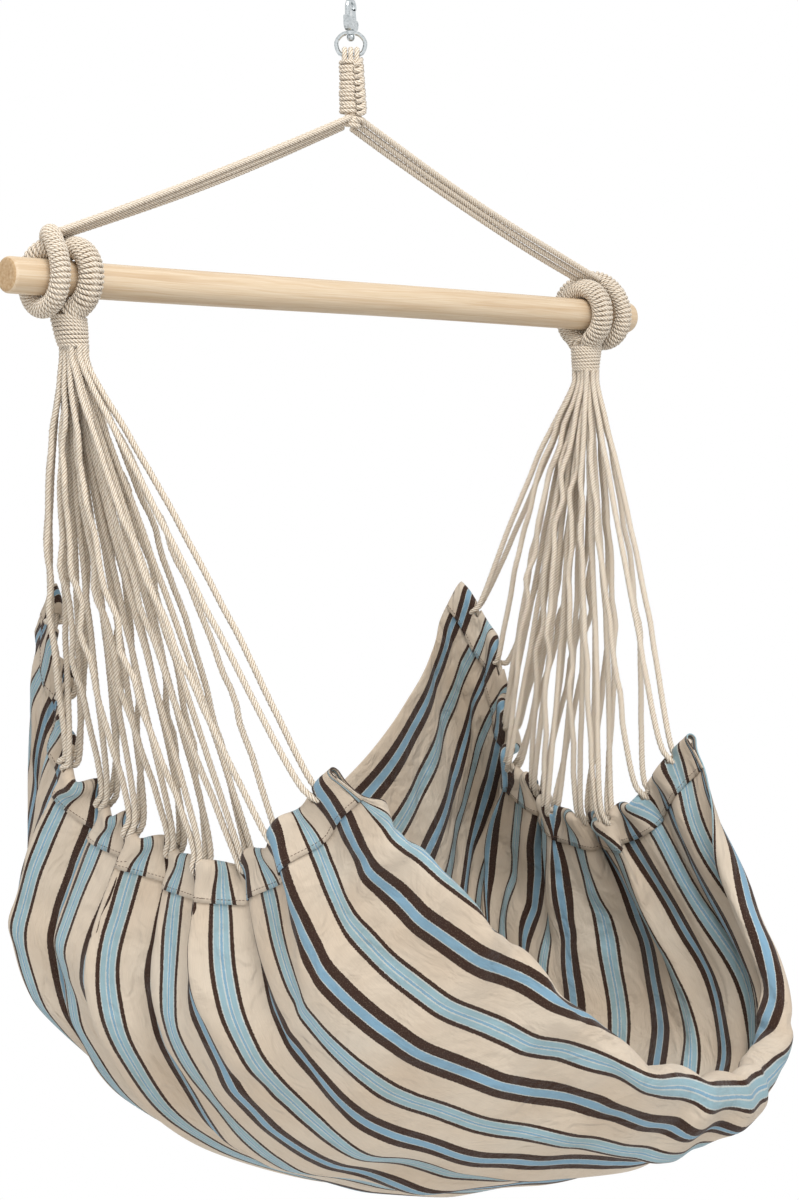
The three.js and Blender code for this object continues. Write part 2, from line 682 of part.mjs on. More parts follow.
const ropeEndX = (TURN_OUTER_X + TURN_INNER_X) / 2 + 3;
const ropeEnd = -BAR_DROP + BIGHT_RADIUS - UPPER_ROPE / 2 - 1.8;
const ropeStartX = CROWN_KNOT_DIAMETER / 2 - 3;
const ropeStart = -NECK_BOTTOM - CROWN_KNOT_HEIGHT / 2 - 1;

// One upper rope, or with some clearance the room that it needs in what it is tied into.
function upperRope(sign, row, clearance = 0) {
  const y = (row - (UPPER_ROPES_PER_SIDE - 1) / 2) * UPPER_ROPE_PITCH;
  const start = vec(sign * ropeStartX, y, ropeStart);
  const end = vec(sign * ropeEndX, y, ropeEnd);
  const more = end.clone().sub(start).setLength(clearance);
  const path = new THREE.LineCurve3(start.sub(more), end.add(more));
  return tube(path, UPPER_ROPE + 2 * clearance, 10, 1);
}

let boredKnot = knot;
SIDES.forEach(({ name, sign }) => {
  const rooms = [];
  for (let row = 0; row < UPPER_ROPES_PER_SIDE; row++) {
    part(seatGroup, `upper_rope_${name}_${row + 1}`, upperRope(sign, row), "rope");
    rooms.push(solid(upperRope(sign, row, CLEARANCE)));
  }
  const turnBack = new THREE.Matrix4().makeRotationZ(radians(-EYE_TURN));
  rooms.forEach((room) => {
    const turnedRoom = geometryOf(room).applyMatrix4(turnBack);
    boredKnot = boredKnot.subtract(solid(turnedRoom));
  });
  part(seatGroup, "hitch_core_" + name, geometryOf(hitchCore(sign)), "rope");
  part(seatGroup, "hitch_bight_" + name, geometryOf(hitchBight(sign, rooms)), "rope");
  [["outer", TURN_OUTER_X], ["inner", TURN_INNER_X]].forEach(([which, x]) => {
    const guide = (t) => {
      const degrees = SERVING_START + t * servingArc;
      const place = onTurn(sign * x, degrees);
      const side = place.clone().sub(vec(sign * x, 0, -BAR_DROP)).normalize();
      return { place, along: side.clone().cross(alongBar).normalize(), side };
    };
    part(seatGroup, `hitch_serving_${which}_${name}`, winding(guide, {
      loops: SERVING_LOOPS, radius: () => servingLoopRadius, cord: SERVING_CORD, stepsPerLoop: 7, sides: 4,
      name: `hitch_serving_${which}_${name}`,
    }), "rope");
  });
  const whippedTop = collarTop - 4 - WHIPPING_CORD / 2 - CLEARANCE;
  const whippedBottom = collarBottom + WHIPPING_CORD / 2 + 0.4;
  const collarGuide = (t) => ({
    place: vec(sign * COLLAR_X, 0, THREE.MathUtils.lerp(whippedBottom, whippedTop, t)),
    along: up,
    side: vec(0, 1, 0),
  });
  const collarLoop = (t) => {
    const core = THREE.MathUtils.lerp(COLLAR_CORE_BOTTOM, COLLAR_CORE_TOP, t) / 2;
    return (core + CLEARANCE + 0.1 + WHIPPING_CORD / 2) / Math.cos(Math.PI / 10);
  };
  part(seatGroup, "collar_whipping_" + name, winding(collarGuide, {
    loops: WHIPPING_LOOPS, radius: collarLoop, cord: WHIPPING_CORD, stepsPerLoop: 10, sides: 4,
    name: "collar_whipping_" + name,
  }), "rope");
});
part(tiedGroup, "crown_knot", geometryOf(boredKnot), "rope");

// Rope fans. Each loop leaves the collar, goes round the hem cord in its notch and comes back.
const loopShare = (i) => (i + 0.5) / FAN_LOOPS;

// Places under the collar, in columns from the back to the front, outer strand first.
function collarSlots() {
  const columns = [1, 2, 2, 2, 2, 1];
  const slots = [];
  columns.forEach((pairs, k) => {
    const y = ((columns.length - 1) / 2 - k) * FAN_ROPE_PITCH;
    if (pairs === 1) {
      slots.push({ y, outer: 0.5, inner: -0.5 });
    } else {
      slots.push({ y, outer: 0.5, inner: -1.5 }, { y, outer: 1.5, inner: -0.5 });
    }
  });
  return slots;
}

// How far a loop's strands bow out of line: the outermost are taut and the middle ones hang slack.
// Two loops that share a column under the collar bow alike.
function slack(i) {
  const column = Math.floor((i + 1) / 2);
  return FAN_BOW + FAN_SLACK * Math.sin((Math.PI * column) / (FAN_LOOPS / 2));
}

function fanLoop(side, i) {
  const slot = collarSlots()[i];
  const { edge, down, inward, along } = hemFrame(side, loopShare(i));
  const cordCentre = edge.clone().addScaledVector(down, HEM_CORD_DROP);
  const bend = (HEM_CORD / 2 + 2 * CLEARANCE + FAN_ROPE / 2) / Math.cos(Math.PI / 12);
  const around = [0, 30, 60, 90, 120, 150, 180].map((degrees) => {
    const a = radians(degrees);
    return cordCentre.clone().addScaledVector(inward, -bend * Math.cos(a)).addScaledVector(down, bend * Math.sin(a));
  });
  const strand = (share, goal, bow) => {
    const x = side.sign * (COLLAR_X + share * FAN_ROPE_PITCH);
    const start = vec(x, slot.y, collarBottom - CLEARANCE);
    const rise = goal.clone().addScaledVector(down, -14).addScaledVector(inward, -Math.sign(bow) * 1.5);
    const at = (t) => {
      const p = start.clone().lerp(rise, t);
      const sway = slack(i) * 0.22 * Math.sin(2 * Math.PI * t) * t;
      return p.add(vec(side.sign * bow * Math.sin(Math.PI * t), sway, 0));
    };
    const below = start.clone().addScaledVector(up, -FAN_ROPE);
    return [start, below, at(0.3), at(0.65), rise];
  };
  const outer = strand(slot.outer, around[0], slack(i));
  const inner = strand(slot.inner, around[around.length - 1], -slack(i) * 0.8);
  const route = [...outer, ...around, ...inner.reverse()];
  return { geometry: rope(route, FAN_ROPE, 5), cordCentre, along, down };
}

SIDES.forEach((side) => {
  const stations = Array.from({ length: 2 * FAN_LOOPS + 1 }, (_, k) => k / (2 * FAN_LOOPS));
  const loops = [];
  for (let i = 0; i < FAN_LOOPS; i++) {
    const loop = fanLoop(side, i);
    loops.push(loop);
    part(seatGroup, `fan_rope_${side.name}_${i + 1}`, loop.geometry, "rope");
  }
  const frames = stations.map((v) => hemFrame(side, v));
  const cordRoute = frames.map((f) => f.edge.clone().addScaledVector(f.down, HEM_CORD_DROP));
  part(seatGroup, "hem_cord_" + side.name, rope(cordRoute, HEM_CORD, 6), "rope");
  const sleeveRings = frames.map((f) => hemSection(f));
  let sleeve = solid(skin(sleeveRings, HEM_SECTION_OUTER));
  loops.forEach(({ cordCentre, along, down }) => {
    sleeve = sleeve.subtract(solid(notch(cordCentre, along, down)));
  });
  part(seatGroup, "hem_sleeve_" + side.name, geometryOf(sleeve), "canvas");
});

// The folded hem's section: a hairpin round the cord, its legs closing on the cloth below.
function hemSection({ edge, low, down, inward, footIn }) {
  const room = HEM_CORD / 2 + HEM_PLAY;
  const outer = room + HEM_WALL;
  const leg = CLOTH_THICKNESS / 2;
  const at = (o, d) => edge.clone().addScaledVector(inward, o).addScaledVector(down, HEM_CORD_DROP + d);
  const foot = (o) => low.clone().addScaledVector(footIn, o);
  return [
    foot(leg), at(outer, 0.4 * room), at(0.75 * outer, -0.9 * outer), at(-0.75 * outer, -0.9 * outer),
    at(-outer, 0.4 * room), foot(-leg), foot(HEM_WALL - leg), at(-room, 0.5 * room),
    at(-0.75 * room, -0.9 * room), at(0.75 * room, -0.9 * room), at(room, 0.5 * room), foot(leg - HEM_WALL),
  ];
}

function notch(cordCentre, along, down) {
  const depth = HEM_CORD / 2 + FAN_ROPE + 2;
  const box = new THREE.BoxGeometry(NOTCH_WIDTH, 5 * HEM_CORD, depth + 20);
  const across = down.clone().cross(along).normalize();
  const basis = new THREE.Matrix4().makeBasis(along, across, down);
  const middle = cordCentre.clone().addScaledVector(down, (depth - 20) / 2);
  basis.setPosition(middle);
  return box.applyMatrix4(basis);
}

// Seat cloth: from hem to hem in one piece, with its pleats.
function seatCloth() {
  const acrossSteps = 2 * FAN_LOOPS;
  const downSteps = 16;
  const half = CLOTH_THICKNESS / 2;
  const lineAt = (v) => {
    const [left, right] = SIDES.map((side) => hemShare(side, v, HEM_DEPTH + 2 * CLEARANCE));
    return Array.from({ length: downSteps + 1 }, (_, i) => THREE.MathUtils.lerp(left, right, i / downSteps));
  };
  const rings = Array.from({ length: acrossSteps + 1 }, (_, k) => {
    const v = k / acrossSteps;
    const us = lineAt(v);
    const upper = us.map((u) => cloth(u, v).addScaledVector(clothNormal(u, v), half));
    const lower = us.map((u) => cloth(u, v).addScaledVector(clothNormal(u, v), -half));
    return [...upper, ...lower.reverse()];
  });
  return skinOfStrips(rings, downSteps + 1);
}

// A thin closed skin whose rings are long strips: both faces, both rims, and ladder-like end caps.
function skinOfStrips(rings, half) {
  const size = rings[0].length;
  const positions = [];
  const faces = sideFaces(rings, half);
  rings.forEach((ring) => ring.forEach((p) => positions.push(p.x, p.y, p.z)));
  const last = (rings.length - 1) * size;
  for (let k = 0; k + 1 < half; k++) {
    const [a, b, c, d] = [k, k + 1, size - 2 - k, size - 1 - k];
    faces.push(a, c, b, a, d, c);
    faces.push(last + a, last + b, last + c, last + a, last + c, last + d);
  }
  const geometry = new THREE.BufferGeometry();
  geometry.setAttribute("position", new THREE.Float32BufferAttribute(positions, 3));
  geometry.setIndex(faces);
  return outward(geometry);
}
part(seatGroup, "seat_cloth", seatCloth(), "canvas");

export default chair;
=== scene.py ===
import math

import bpy
import numpy as np
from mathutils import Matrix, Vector
from mathutils.bvhtree import BVHTree


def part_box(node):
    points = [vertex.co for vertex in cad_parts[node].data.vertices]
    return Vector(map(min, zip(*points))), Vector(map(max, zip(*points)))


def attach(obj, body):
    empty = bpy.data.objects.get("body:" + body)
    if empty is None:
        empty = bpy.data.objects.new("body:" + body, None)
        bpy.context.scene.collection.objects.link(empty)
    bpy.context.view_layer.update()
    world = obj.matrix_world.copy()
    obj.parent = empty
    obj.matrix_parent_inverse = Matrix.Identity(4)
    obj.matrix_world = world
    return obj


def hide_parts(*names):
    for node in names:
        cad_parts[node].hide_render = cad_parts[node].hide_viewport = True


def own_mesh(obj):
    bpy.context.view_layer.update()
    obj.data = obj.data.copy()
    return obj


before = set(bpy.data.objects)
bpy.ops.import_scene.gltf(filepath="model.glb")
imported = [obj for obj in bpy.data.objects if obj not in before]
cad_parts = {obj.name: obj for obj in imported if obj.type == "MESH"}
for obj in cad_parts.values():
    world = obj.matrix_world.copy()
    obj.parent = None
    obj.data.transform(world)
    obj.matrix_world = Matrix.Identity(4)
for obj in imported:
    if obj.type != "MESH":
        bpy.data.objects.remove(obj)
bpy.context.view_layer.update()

MM = 0.001
UP = np.array([0.0, 0.0, 1.0])

# Sizes of the chair, in millimetres

BAR_LENGTH = 1000.0
BAR_DIAMETER = 40.0
BAR_DROP = 352.0
BAR_END_ROUNDING = 5.0

FAN_ROPE = 6.0
FAN_LOOPS = 10
DOUBLED_LOOPS = (2, 3, 4, 5, 6, 7)
ROPE_GAP = 0.6
FAN_ROPE_PITCH = 6.4
FAN_SLACK = 26.0
FAN_BOW = 7.0
QUIET_SLACK = 14.0
FAN_LAY = 20.0
FAN_ROPE_FULL = 7.9
UPPER_ROPE = 8.0
UPPER_ROPES_PER_SIDE = 3
UPPER_ROPE_PITCH = 8.5
UPPER_LAY = 24.0
FINE_LAY = 4.0

TURN_OUTER_X = 452.0
TURN_INNER_X = 408.0
SERVING_CORD = 5.4
SERVING_PITCH = 5.0
COLLAR_X = 416.0
COLLAR_TOP_DROP = 47.0
COLLAR_LENGTH = 33.0
BIGHT_RADIUS = 53.0
COLLAR_RAISED = 5.0
COLLAR_FOOT_SHIFT = {-1.0: -4.5, 1.0: 0.5}
FAN_SPREAD = {-1.0: 0.94, 1.0: 1.14}

EYE_TURN = -43.4
EYE_WIRE = 5.5
EYE_RING_BOTTOM = -61.9
CROWN_CORD = 7.0
CROWN_CORDS = 3
CROWN_CORD_PITCH = 7.4
NECK_TOP = 70.5
NECK_BOTTOM = 134.0
CROWN_KNOT_DIAMETER = 25.0
CROWN_KNOT_HEIGHT = 15.0

HEM_DEPTH = 45.0
HEM_CORD = 7.4
HEM_CORD_DROP = 6.2
HEM_FOOT = 46.0
PLEATS = 5
HEM_PLEAT_DEPTH = 7.0
PLEAT_DEPTH = 22.0
PLEAT_REACH = 0.6
CLOTH_THICKNESS = 1.7
FLAT_WIDTH = 1040.0
FLAT_LENGTH = 1420.0
CORNER_REACH = (-44.0, 42.0, -38.0)

# The cloth's shape: one row for each stripe line, from the back selvedge to the front lip.
CLOTH_ROWS = np.array([
    [[-354, 117, -690], [-338, 192, -800], [-240, 220, -985], [0, 208, -1058], [150, 175, -945],
     [284, 162, -808], [366, 94, -666]],
    [[-352, 80, -889], [-356, 176, -1076], [-260, 134, -1254], [0, 40, -1340], [225, 85, -1235],
     [382, 178, -1060], [352, 80, -890]],
    [[-318, -20, -971], [-334, 18, -1170], [-214, 4, -1342], [0, -125, -1402], [200, -100, -1366],
     [340, 0, -1180], [318, -20, -974]],
    [[-300, -150, -985], [-292, -190, -1150], [-180, -230, -1298], [0, -300, -1362], [185, -330, -1344],
     [322, -270, -1200], [300, -150, -985]],
    [[-291, -284, -879], [-235, -345, -960], [-126, -412, -1096], [12, -466, -1228], [179, -489, -1262],
     [276, -455, -1172], [291, -284, -879]],
], dtype=float)

SIDES = (("left", -1.0), ("right", 1.0))


# Camera, solved from the bar, its hitches and the vertical through the hook

LENS = 78.42
SENSOR_WIDTH = 36.0
CAMERA_PLACE = (-2.124, -2.331, -0.588)
CAMERA_DOWN = 2.3
CAMERA_HEADING = -43.4

camera_data = bpy.data.cameras.new("camera")
camera_data.lens = LENS
camera_data.sensor_width = SENSOR_WIDTH
camera = bpy.data.objects.new("camera", camera_data)
bpy.context.scene.collection.objects.link(camera)
camera.location = CAMERA_PLACE
camera.rotation_euler = (math.radians(90 - CAMERA_DOWN), 0, math.radians(CAMERA_HEADING))
bpy.context.scene.camera = camera


# Lines and frames

def unit(v):
    v = np.asarray(v, dtype=float)
    return v / np.maximum(np.linalg.norm(v, axis=-1, keepdims=True), 1e-9)


def padded_ends(points):
    return np.concatenate([[2 * points[0] - points[1]], points, [2 * points[-1] - points[-2]]])


def spline(points, shares):
    """Even Catmull-Rom through the points; shares run from 0 to 1."""
    points = np.asarray(points, dtype=float)
    spans = len(points) - 1
    around = padded_ends(points)
    at = np.clip(np.asarray(shares, dtype=float), 0, 1) * spans
    i = np.minimum(at.astype(int), spans - 1)
    w = (at - i).reshape((-1,) + (1,) * (points.ndim - 1))
    p0, p1, p2, p3 = (around[i + k] for k in range(4))
    return cubic(p0, p1, p2, p3, w)


def cubic(p0, p1, p2, p3, w):
    v0, v1 = 0.5 * (p2 - p0), 0.5 * (p3 - p1)
    return (2 * p1 - 2 * p2 + v0 + v1) * w**3 + (-3 * p1 + 3 * p2 - 2 * v0 - v1) * w**2 + v0 * w + p1


def route(points, per_span=12):
    """Centripetal Catmull-Rom through the points."""
    points = np.asarray(points, dtype=float)
    around = padded_ends(points)
    w = np.linspace(0, 1, per_span, endpoint=False)[:, None]
    line = []
    for x0, x1, x2, x3 in zip(around, around[1:], around[2:], around[3:]):
        d0, d1, d2 = (max(np.linalg.norm(b - a), 1e-6) ** 0.5 for a, b in ((x0, x1), (x1, x2), (x2, x3)))
        t1 = ((x1 - x0) / d0 - (x2 - x0) / (d0 + d1) + (x2 - x1) / d1) * d1
        t2 = ((x2 - x1) / d1 - (x3 - x1) / (d1 + d2) + (x3 - x2) / d2) * d1
        square, cube = -3 * x1 + 3 * x2 - 2 * t1 - t2, 2 * x1 - 2 * x2 + t1 + t2
        line.append(x1 + t1 * w + square * w**2 + cube * w**3)
    line.append(points[-1:])
    return np.concatenate(line)


def run_of(line):
    return np.concatenate([[0], np.cumsum(np.linalg.norm(np.diff(line, axis=0), axis=1))])


def even_line(line, step):
    run = run_of(line)
    count = max(int(round(run[-1] / step)), 3)
    at = np.linspace(0, run[-1], count + 1)
    return np.stack([np.interp(at, run, line[:, k]) for k in range(3)], axis=1), at


def frames_along(line, first=None):
    """Two crossways directions at each point, which don't twist along the line."""
    tangent = unit(np.gradient(line, axis=0))
    if first is None:
        first = np.cross(tangent[0], [0.31, 0.57, 0.76])
    side = np.empty_like(line)
    side[0] = unit(first - np.dot(first, tangent[0]) * tangent[0])
    for i in range(1, len(line)):
        moved = side[i - 1] - np.dot(side[i - 1], tangent[i]) * tangent[i]
        side[i] = moved / max(np.linalg.norm(moved), 1e-9)
    return side, np.cross(tangent, side)


# Meshes

def piece_of(name, points, faces, material, uv=None):
    """A mesh piece from points in millimetres. uv holds one pair in metres for each face corner."""
    mesh = bpy.data.meshes.new(name)
    mesh.from_pydata((np.asarray(points) * MM).tolist(), [], [list(map(int, f)) for f in faces])
    if uv is not None:
        layer = mesh.uv_layers.new(name="lay")
        layer.data.foreach_set("uv", np.asarray(uv, dtype=np.float32).ravel())
    mesh.materials.append(material)
    mesh.polygons.foreach_set("use_smooth", [True] * len(mesh.polygons))
    mesh.update()
    obj = bpy.data.objects.new(name, mesh)
    bpy.context.scene.collection.objects.link(obj)
    return obj


def sweep(line, side, other, outline, twist, at, ply=3):
    """Rings of an outline along a line. outline gives angle and radius; twist turns each ring."""
    angle, radius = outline
    a = angle[None, :] + twist[:, None]
    reach = np.cos(a)[..., None] * side[:, None, :] + np.sin(a)[..., None] * other[:, None, :]
    rings = line[:, None, :] + radius[None, :, None] * reach
    n, k = rings.shape[:2]
    i, j = np.meshgrid(np.arange(n - 1), np.arange(k), indexing="ij")
    nxt = (j + 1) % k
    quads = np.stack([i * k + j, i * k + nxt, (i + 1) * k + nxt, (i + 1) * k + j], axis=-1).reshape(-1, 4)
    across = float(ply) * np.arange(k + 1) / k
    uv = np.stack([
        np.stack([across[j], at[i] * MM], -1), np.stack([across[j + 1], at[i] * MM], -1),
        np.stack([across[j + 1], at[i + 1] * MM], -1), np.stack([across[j], at[i + 1] * MM], -1),
    ], axis=2).reshape(-1, 2)
    return rings.reshape(-1, 3), quads, uv, k


class Batch:
    """Collects swept bodies into one mesh."""

    def __init__(self):
        self.points, self.faces, self.uv, self.count = [], [], [], 0

    def add(self, points, faces, uv):
        self.points.append(points)
        self.faces.extend([[v + self.count for v in f] for f in faces])
        self.uv.append(uv)
        self.count += len(points)

    def capped(self, swept):
        points, quads, uv, k = swept
        n = len(points)
        ends = np.stack([points[:k].mean(axis=0), points[-k:].mean(axis=0)])
        caps = [[n, (j + 1) % k, j] for j in range(k)]
        caps += [[n + 1, n - k + j, n - k + (j + 1) % k] for j in range(k)]
        self.add(np.concatenate([points, ends]), quads.tolist() + caps,
                 np.concatenate([uv, np.zeros((6 * k, 2))]))

    def piece(self, name, material, body, replaces=()):
        obj = piece_of(name, np.concatenate(self.points), self.faces, material,
                       np.concatenate(self.uv))
        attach(obj, body)
        if replaces:
            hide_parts(*replaces)
        return obj


def strands(per_strand):
    """The outline of three strands laid together, for a rope of radius 1."""
    angle = np.arange(3 * per_strand) * 2 * math.pi / (3 * per_strand)
    phi = (angle + math.pi / 3) % (2 * math.pi / 3) - math.pi / 3
    reach, bulge, groove = 0.536, 0.464, 0.9
    lobe = reach * np.cos(phi) + np.sqrt(np.maximum(bulge**2 - (reach * np.sin(phi)) ** 2, 0))
    return angle, np.maximum(lobe, groove)


def twisted(batch, line, diameter, lay, per_strand=4, steps=8, start=0.0):
    """A finely laid rope along a line. Its finish shows ply strands, with painted shade in the grooves
    between them, more of them for a longer lay.
    """
    even, at = even_line(line, lay / steps)
    side, other = frames_along(even)
    angle, radius = strands(per_strand)
    ply = max(3, round(lay / FINE_LAY))
    batch.capped(sweep(even, side, other, (angle, radius * diameter / 2),
                       start + 2 * math.pi * at / lay, at, ply))


def plain_tube(batch, line, diameter, sides=16, step=None):
    even, at = even_line(line, step or diameter / 5)
    side, other = frames_along(even)
    angle = np.arange(sides) * 2 * math.pi / sides
    radius = np.full(sides, diameter / 2.0)
    batch.capped(sweep(even, side, other, (angle, radius), np.zeros(len(even)), at))


def turned_about_z(points, degrees):
    a = math.radians(degrees)
    turn = np.array([[math.cos(a), -math.sin(a), 0], [math.sin(a), math.cos(a), 0], [0, 0, 1]])
    return np.asarray(points) @ turn.T


# Finishes

def add_node(tree, kind, inputs=None, **settings):
    """A node with its settings. An input is linked to the socket given for it, or takes the value."""
    made = tree.nodes.new(kind)
    for key, value in settings.items():
        setattr(made, key, value)
    for key, value in (inputs or {}).items():
        if isinstance(value, bpy.types.NodeSocket):
            tree.links.new(value, made.inputs[key])
        else:
            made.inputs[key].default_value = value
    return made


class Finish:
    """A material under construction."""

    def __init__(self, name):
        self.material = bpy.data.materials.new(name)
        self.material.use_nodes = True
        self.tree = self.material.node_tree
        self.shader = self.tree.nodes["Principled BSDF"]

    def add(self, kind, inputs=None, **settings):
        return add_node(self.tree, "ShaderNode" + kind, inputs, **settings)

    def math(self, operation, a, b=0.0):
        return self.add("Math", {0: a, 1: b}, operation=operation).outputs[0]

    def mix(self, share, a, b, blend="MIX"):
        made = self.add("Mix", {"Factor": share, 6: a, 7: b}, data_type="RGBA", blend_type=blend)
        return made.outputs[2]

    def ramp(self, share, stops, interpolation="LINEAR"):
        made = self.add("ValToRGB", {"Fac": share})
        made.color_ramp.interpolation = interpolation
        band = made.color_ramp.elements
        while len(band) < len(stops):
            band.new(1.0)
        for element, (place, colour) in zip(band, stops):
            element.position = place
        for element, (place, colour) in zip(band, stops):
            element.color = colour
        return made.outputs["Color"]

    def noise(self, where, scale, detail=3.0, rough=0.5, distortion=0.0):
        return self.add("TexNoise", {"Vector": where, "Scale": scale, "Detail": detail, "Roughness": rough,
                                     "Distortion": distortion}).outputs["Fac"]

    def stretched(self, where, scale):
        return self.add("Mapping", {"Vector": where, "Scale": scale}).outputs["Vector"]

    def wire(self, socket, name):
        self.tree.links.new(socket, self.shader.inputs[name])

    def bump(self, height, distance, strength=1.0, under=None):
        inputs = {"Height": height, "Distance": distance, "Strength": strength}
        if under is not None:
            inputs["Normal"] = under
        return self.add("Bump", inputs).outputs["Normal"]

    def give(self, **values):
        """Set plain values of the shader, named with _ for a space, and hand the material over."""
        for name, value in values.items():
            self.shader.inputs[name.replace("_", " ")].default_value = value
        return self.material


def srgb(r, g, b):
    def linear(c):
        c /= 255.0
        return c / 12.92 if c <= 0.04045 else ((c + 0.055) / 1.055) ** 2.4
    return (linear(r), linear(g), linear(b), 1.0)


def grey(v):
    return (v, v, v, 1.0)


def cotton_rope():
    f = Finish("cotton_rope")
    lay = f.add("UVMap", uv_map="lay").outputs["UV"]
    space = f.add("TexCoord").outputs["Object"]
    round_strand = f.add("SeparateXYZ", {"Vector": lay}).outputs["X"]
    crest = f.math("ABSOLUTE", f.math("COSINE", f.math("MULTIPLY", round_strand, math.pi)))
    yarn = f.noise(f.stretched(lay, (5.5, 330, 1)), 1.0, 2.0)
    fuzz = f.noise(space, 900.0, 3.0)
    worn = f.noise(space, 9.0, 2.0)
    colour = f.ramp(yarn, [
        (0.25, srgb(220, 205, 184)), (0.5, srgb(235, 223, 205)), (0.8, srgb(242, 233, 219))])
    colour = f.mix(f.ramp(worn, [(0.35, grey(0.0)), (0.7, grey(0.35))]), colour, srgb(232, 217, 196))
    # Painted shade: the grooves between the laid strands are darkened in the colour, with the crest of each
    # strand left lightest.
    painted_groove_shade = f.ramp(crest, [(0.0, srgb(176, 156, 134)), (0.28, srgb(226, 214, 198)), (0.62, grey(1.0))])
    colour = f.mix(1.0, colour, painted_groove_shade, "MULTIPLY")
    f.wire(colour, "Base Color")
    f.wire(f.bump(fuzz, 0.0004, 0.5, f.bump(yarn, 0.0004, 0.6, f.bump(crest, 0.0011, 0.8))), "Normal")
    return f.give(Roughness=0.92, Sheen_Weight=0.25, Sheen_Roughness=0.5, Specular_IOR_Level=0.2)


WEAVE_PITCH = 0.0011
CREAM = srgb(216, 202, 183)
PALE = srgb(200, 207, 203)
BROWN = srgb(58, 38, 28)
BLUE = srgb(132, 170, 194)
LIGHT_BLUE = srgb(152, 183, 193)
# Each stripe's width in millimetres and its colour, from the front edge backwards
STRIPES = (
    (3, CREAM), (4.4, BROWN), (0.9, PALE), (5.4, LIGHT_BLUE), (1.2, PALE), (2.4, BLUE), (1.2, PALE),
    (5.4, LIGHT_BLUE), (0.9, PALE), (4.4, BROWN), (24, CREAM),
    (9.8, BROWN), (1.0, PALE), (8.6, BLUE), (1.0, PALE), (9.2, BROWN), (23.2, CREAM),
)


def striped_canvas():
    f = Finish("striped_canvas")
    lay = f.add("UVMap", uv_map="lay").outputs["UV"]
    parts = f.add("SeparateXYZ", {"Vector": lay})
    along, across = parts.outputs["X"], parts.outputs["Y"]
    warp = f.math("SINE", f.math("MULTIPLY", across, 2 * math.pi / WEAVE_PITCH))
    weft = f.math("SINE", f.math("MULTIPLY", along, 2 * math.pi / WEAVE_PITCH))
    weave = f.math("MULTIPLY", warp, weft)
    ragged = f.noise(f.stretched(lay, (900, 500, 1)), 1.0, 1.0)
    shifted = f.math("ADD", across, f.math("MULTIPLY", f.math("SUBTRACT", ragged, 0.5), 0.0016))
    shifted = f.math("ADD", shifted, f.math("MULTIPLY", weave, 0.00022))
    total = sum(width for width, _ in STRIPES)
    share = f.math("FRACT", f.math("DIVIDE", shifted, total * MM))
    stops, at = [], 0.0
    for width, colour in STRIPES:
        stops.append((at / total, colour))
        at += width
    colour = f.ramp(share, stops, "CONSTANT")
    slub = f.noise(f.stretched(lay, (60, 1400, 1)), 1.0, 2.0)
    cloud = f.noise(f.stretched(lay, (7, 7, 1)), 1.0, 3.0)
    fleck = f.noise(f.stretched(lay, (1500, 900, 1)), 1.0, 0.0)
    colour = f.mix(1.0, colour, f.ramp(slub, [(0.3, grey(0.9)), (0.7, grey(1.0))]), "MULTIPLY")
    colour = f.mix(1.0, colour, f.ramp(cloud, [(0.3, srgb(240, 232, 224)), (0.7, grey(1.0))]), "MULTIPLY")
    colour = f.mix(f.ramp(fleck, [(0.66, grey(0.0)), (0.8, grey(0.28))]), colour, srgb(196, 172, 146))
    f.wire(colour, "Base Color")
    crease = f.noise(f.stretched(lay, (22, 34, 1)), 1.0, 3.0, 0.55, 0.8)
    pinch = f.noise(f.stretched(lay, (8, 13, 1)), 1.0, 2.0, 0.5, 1.3)
    from_line = f.math("ABSOLUTE", f.math("SUBTRACT", pinch, 0.5))
    pinch = f.ramp(from_line, [(0.0, grey(1.0)), (0.16, grey(0.0))], "EASE")
    rough = f.bump(crease, 0.0072, 0.85, f.bump(pinch, 0.0032, 0.6))
    f.wire(f.bump(weave, 0.00022, 0.6, f.bump(slub, 0.0003, 0.4, rough)), "Normal")
    return f.give(Roughness=0.9, Sheen_Weight=0.15, Sheen_Roughness=0.5, Specular_IOR_Level=0.2)


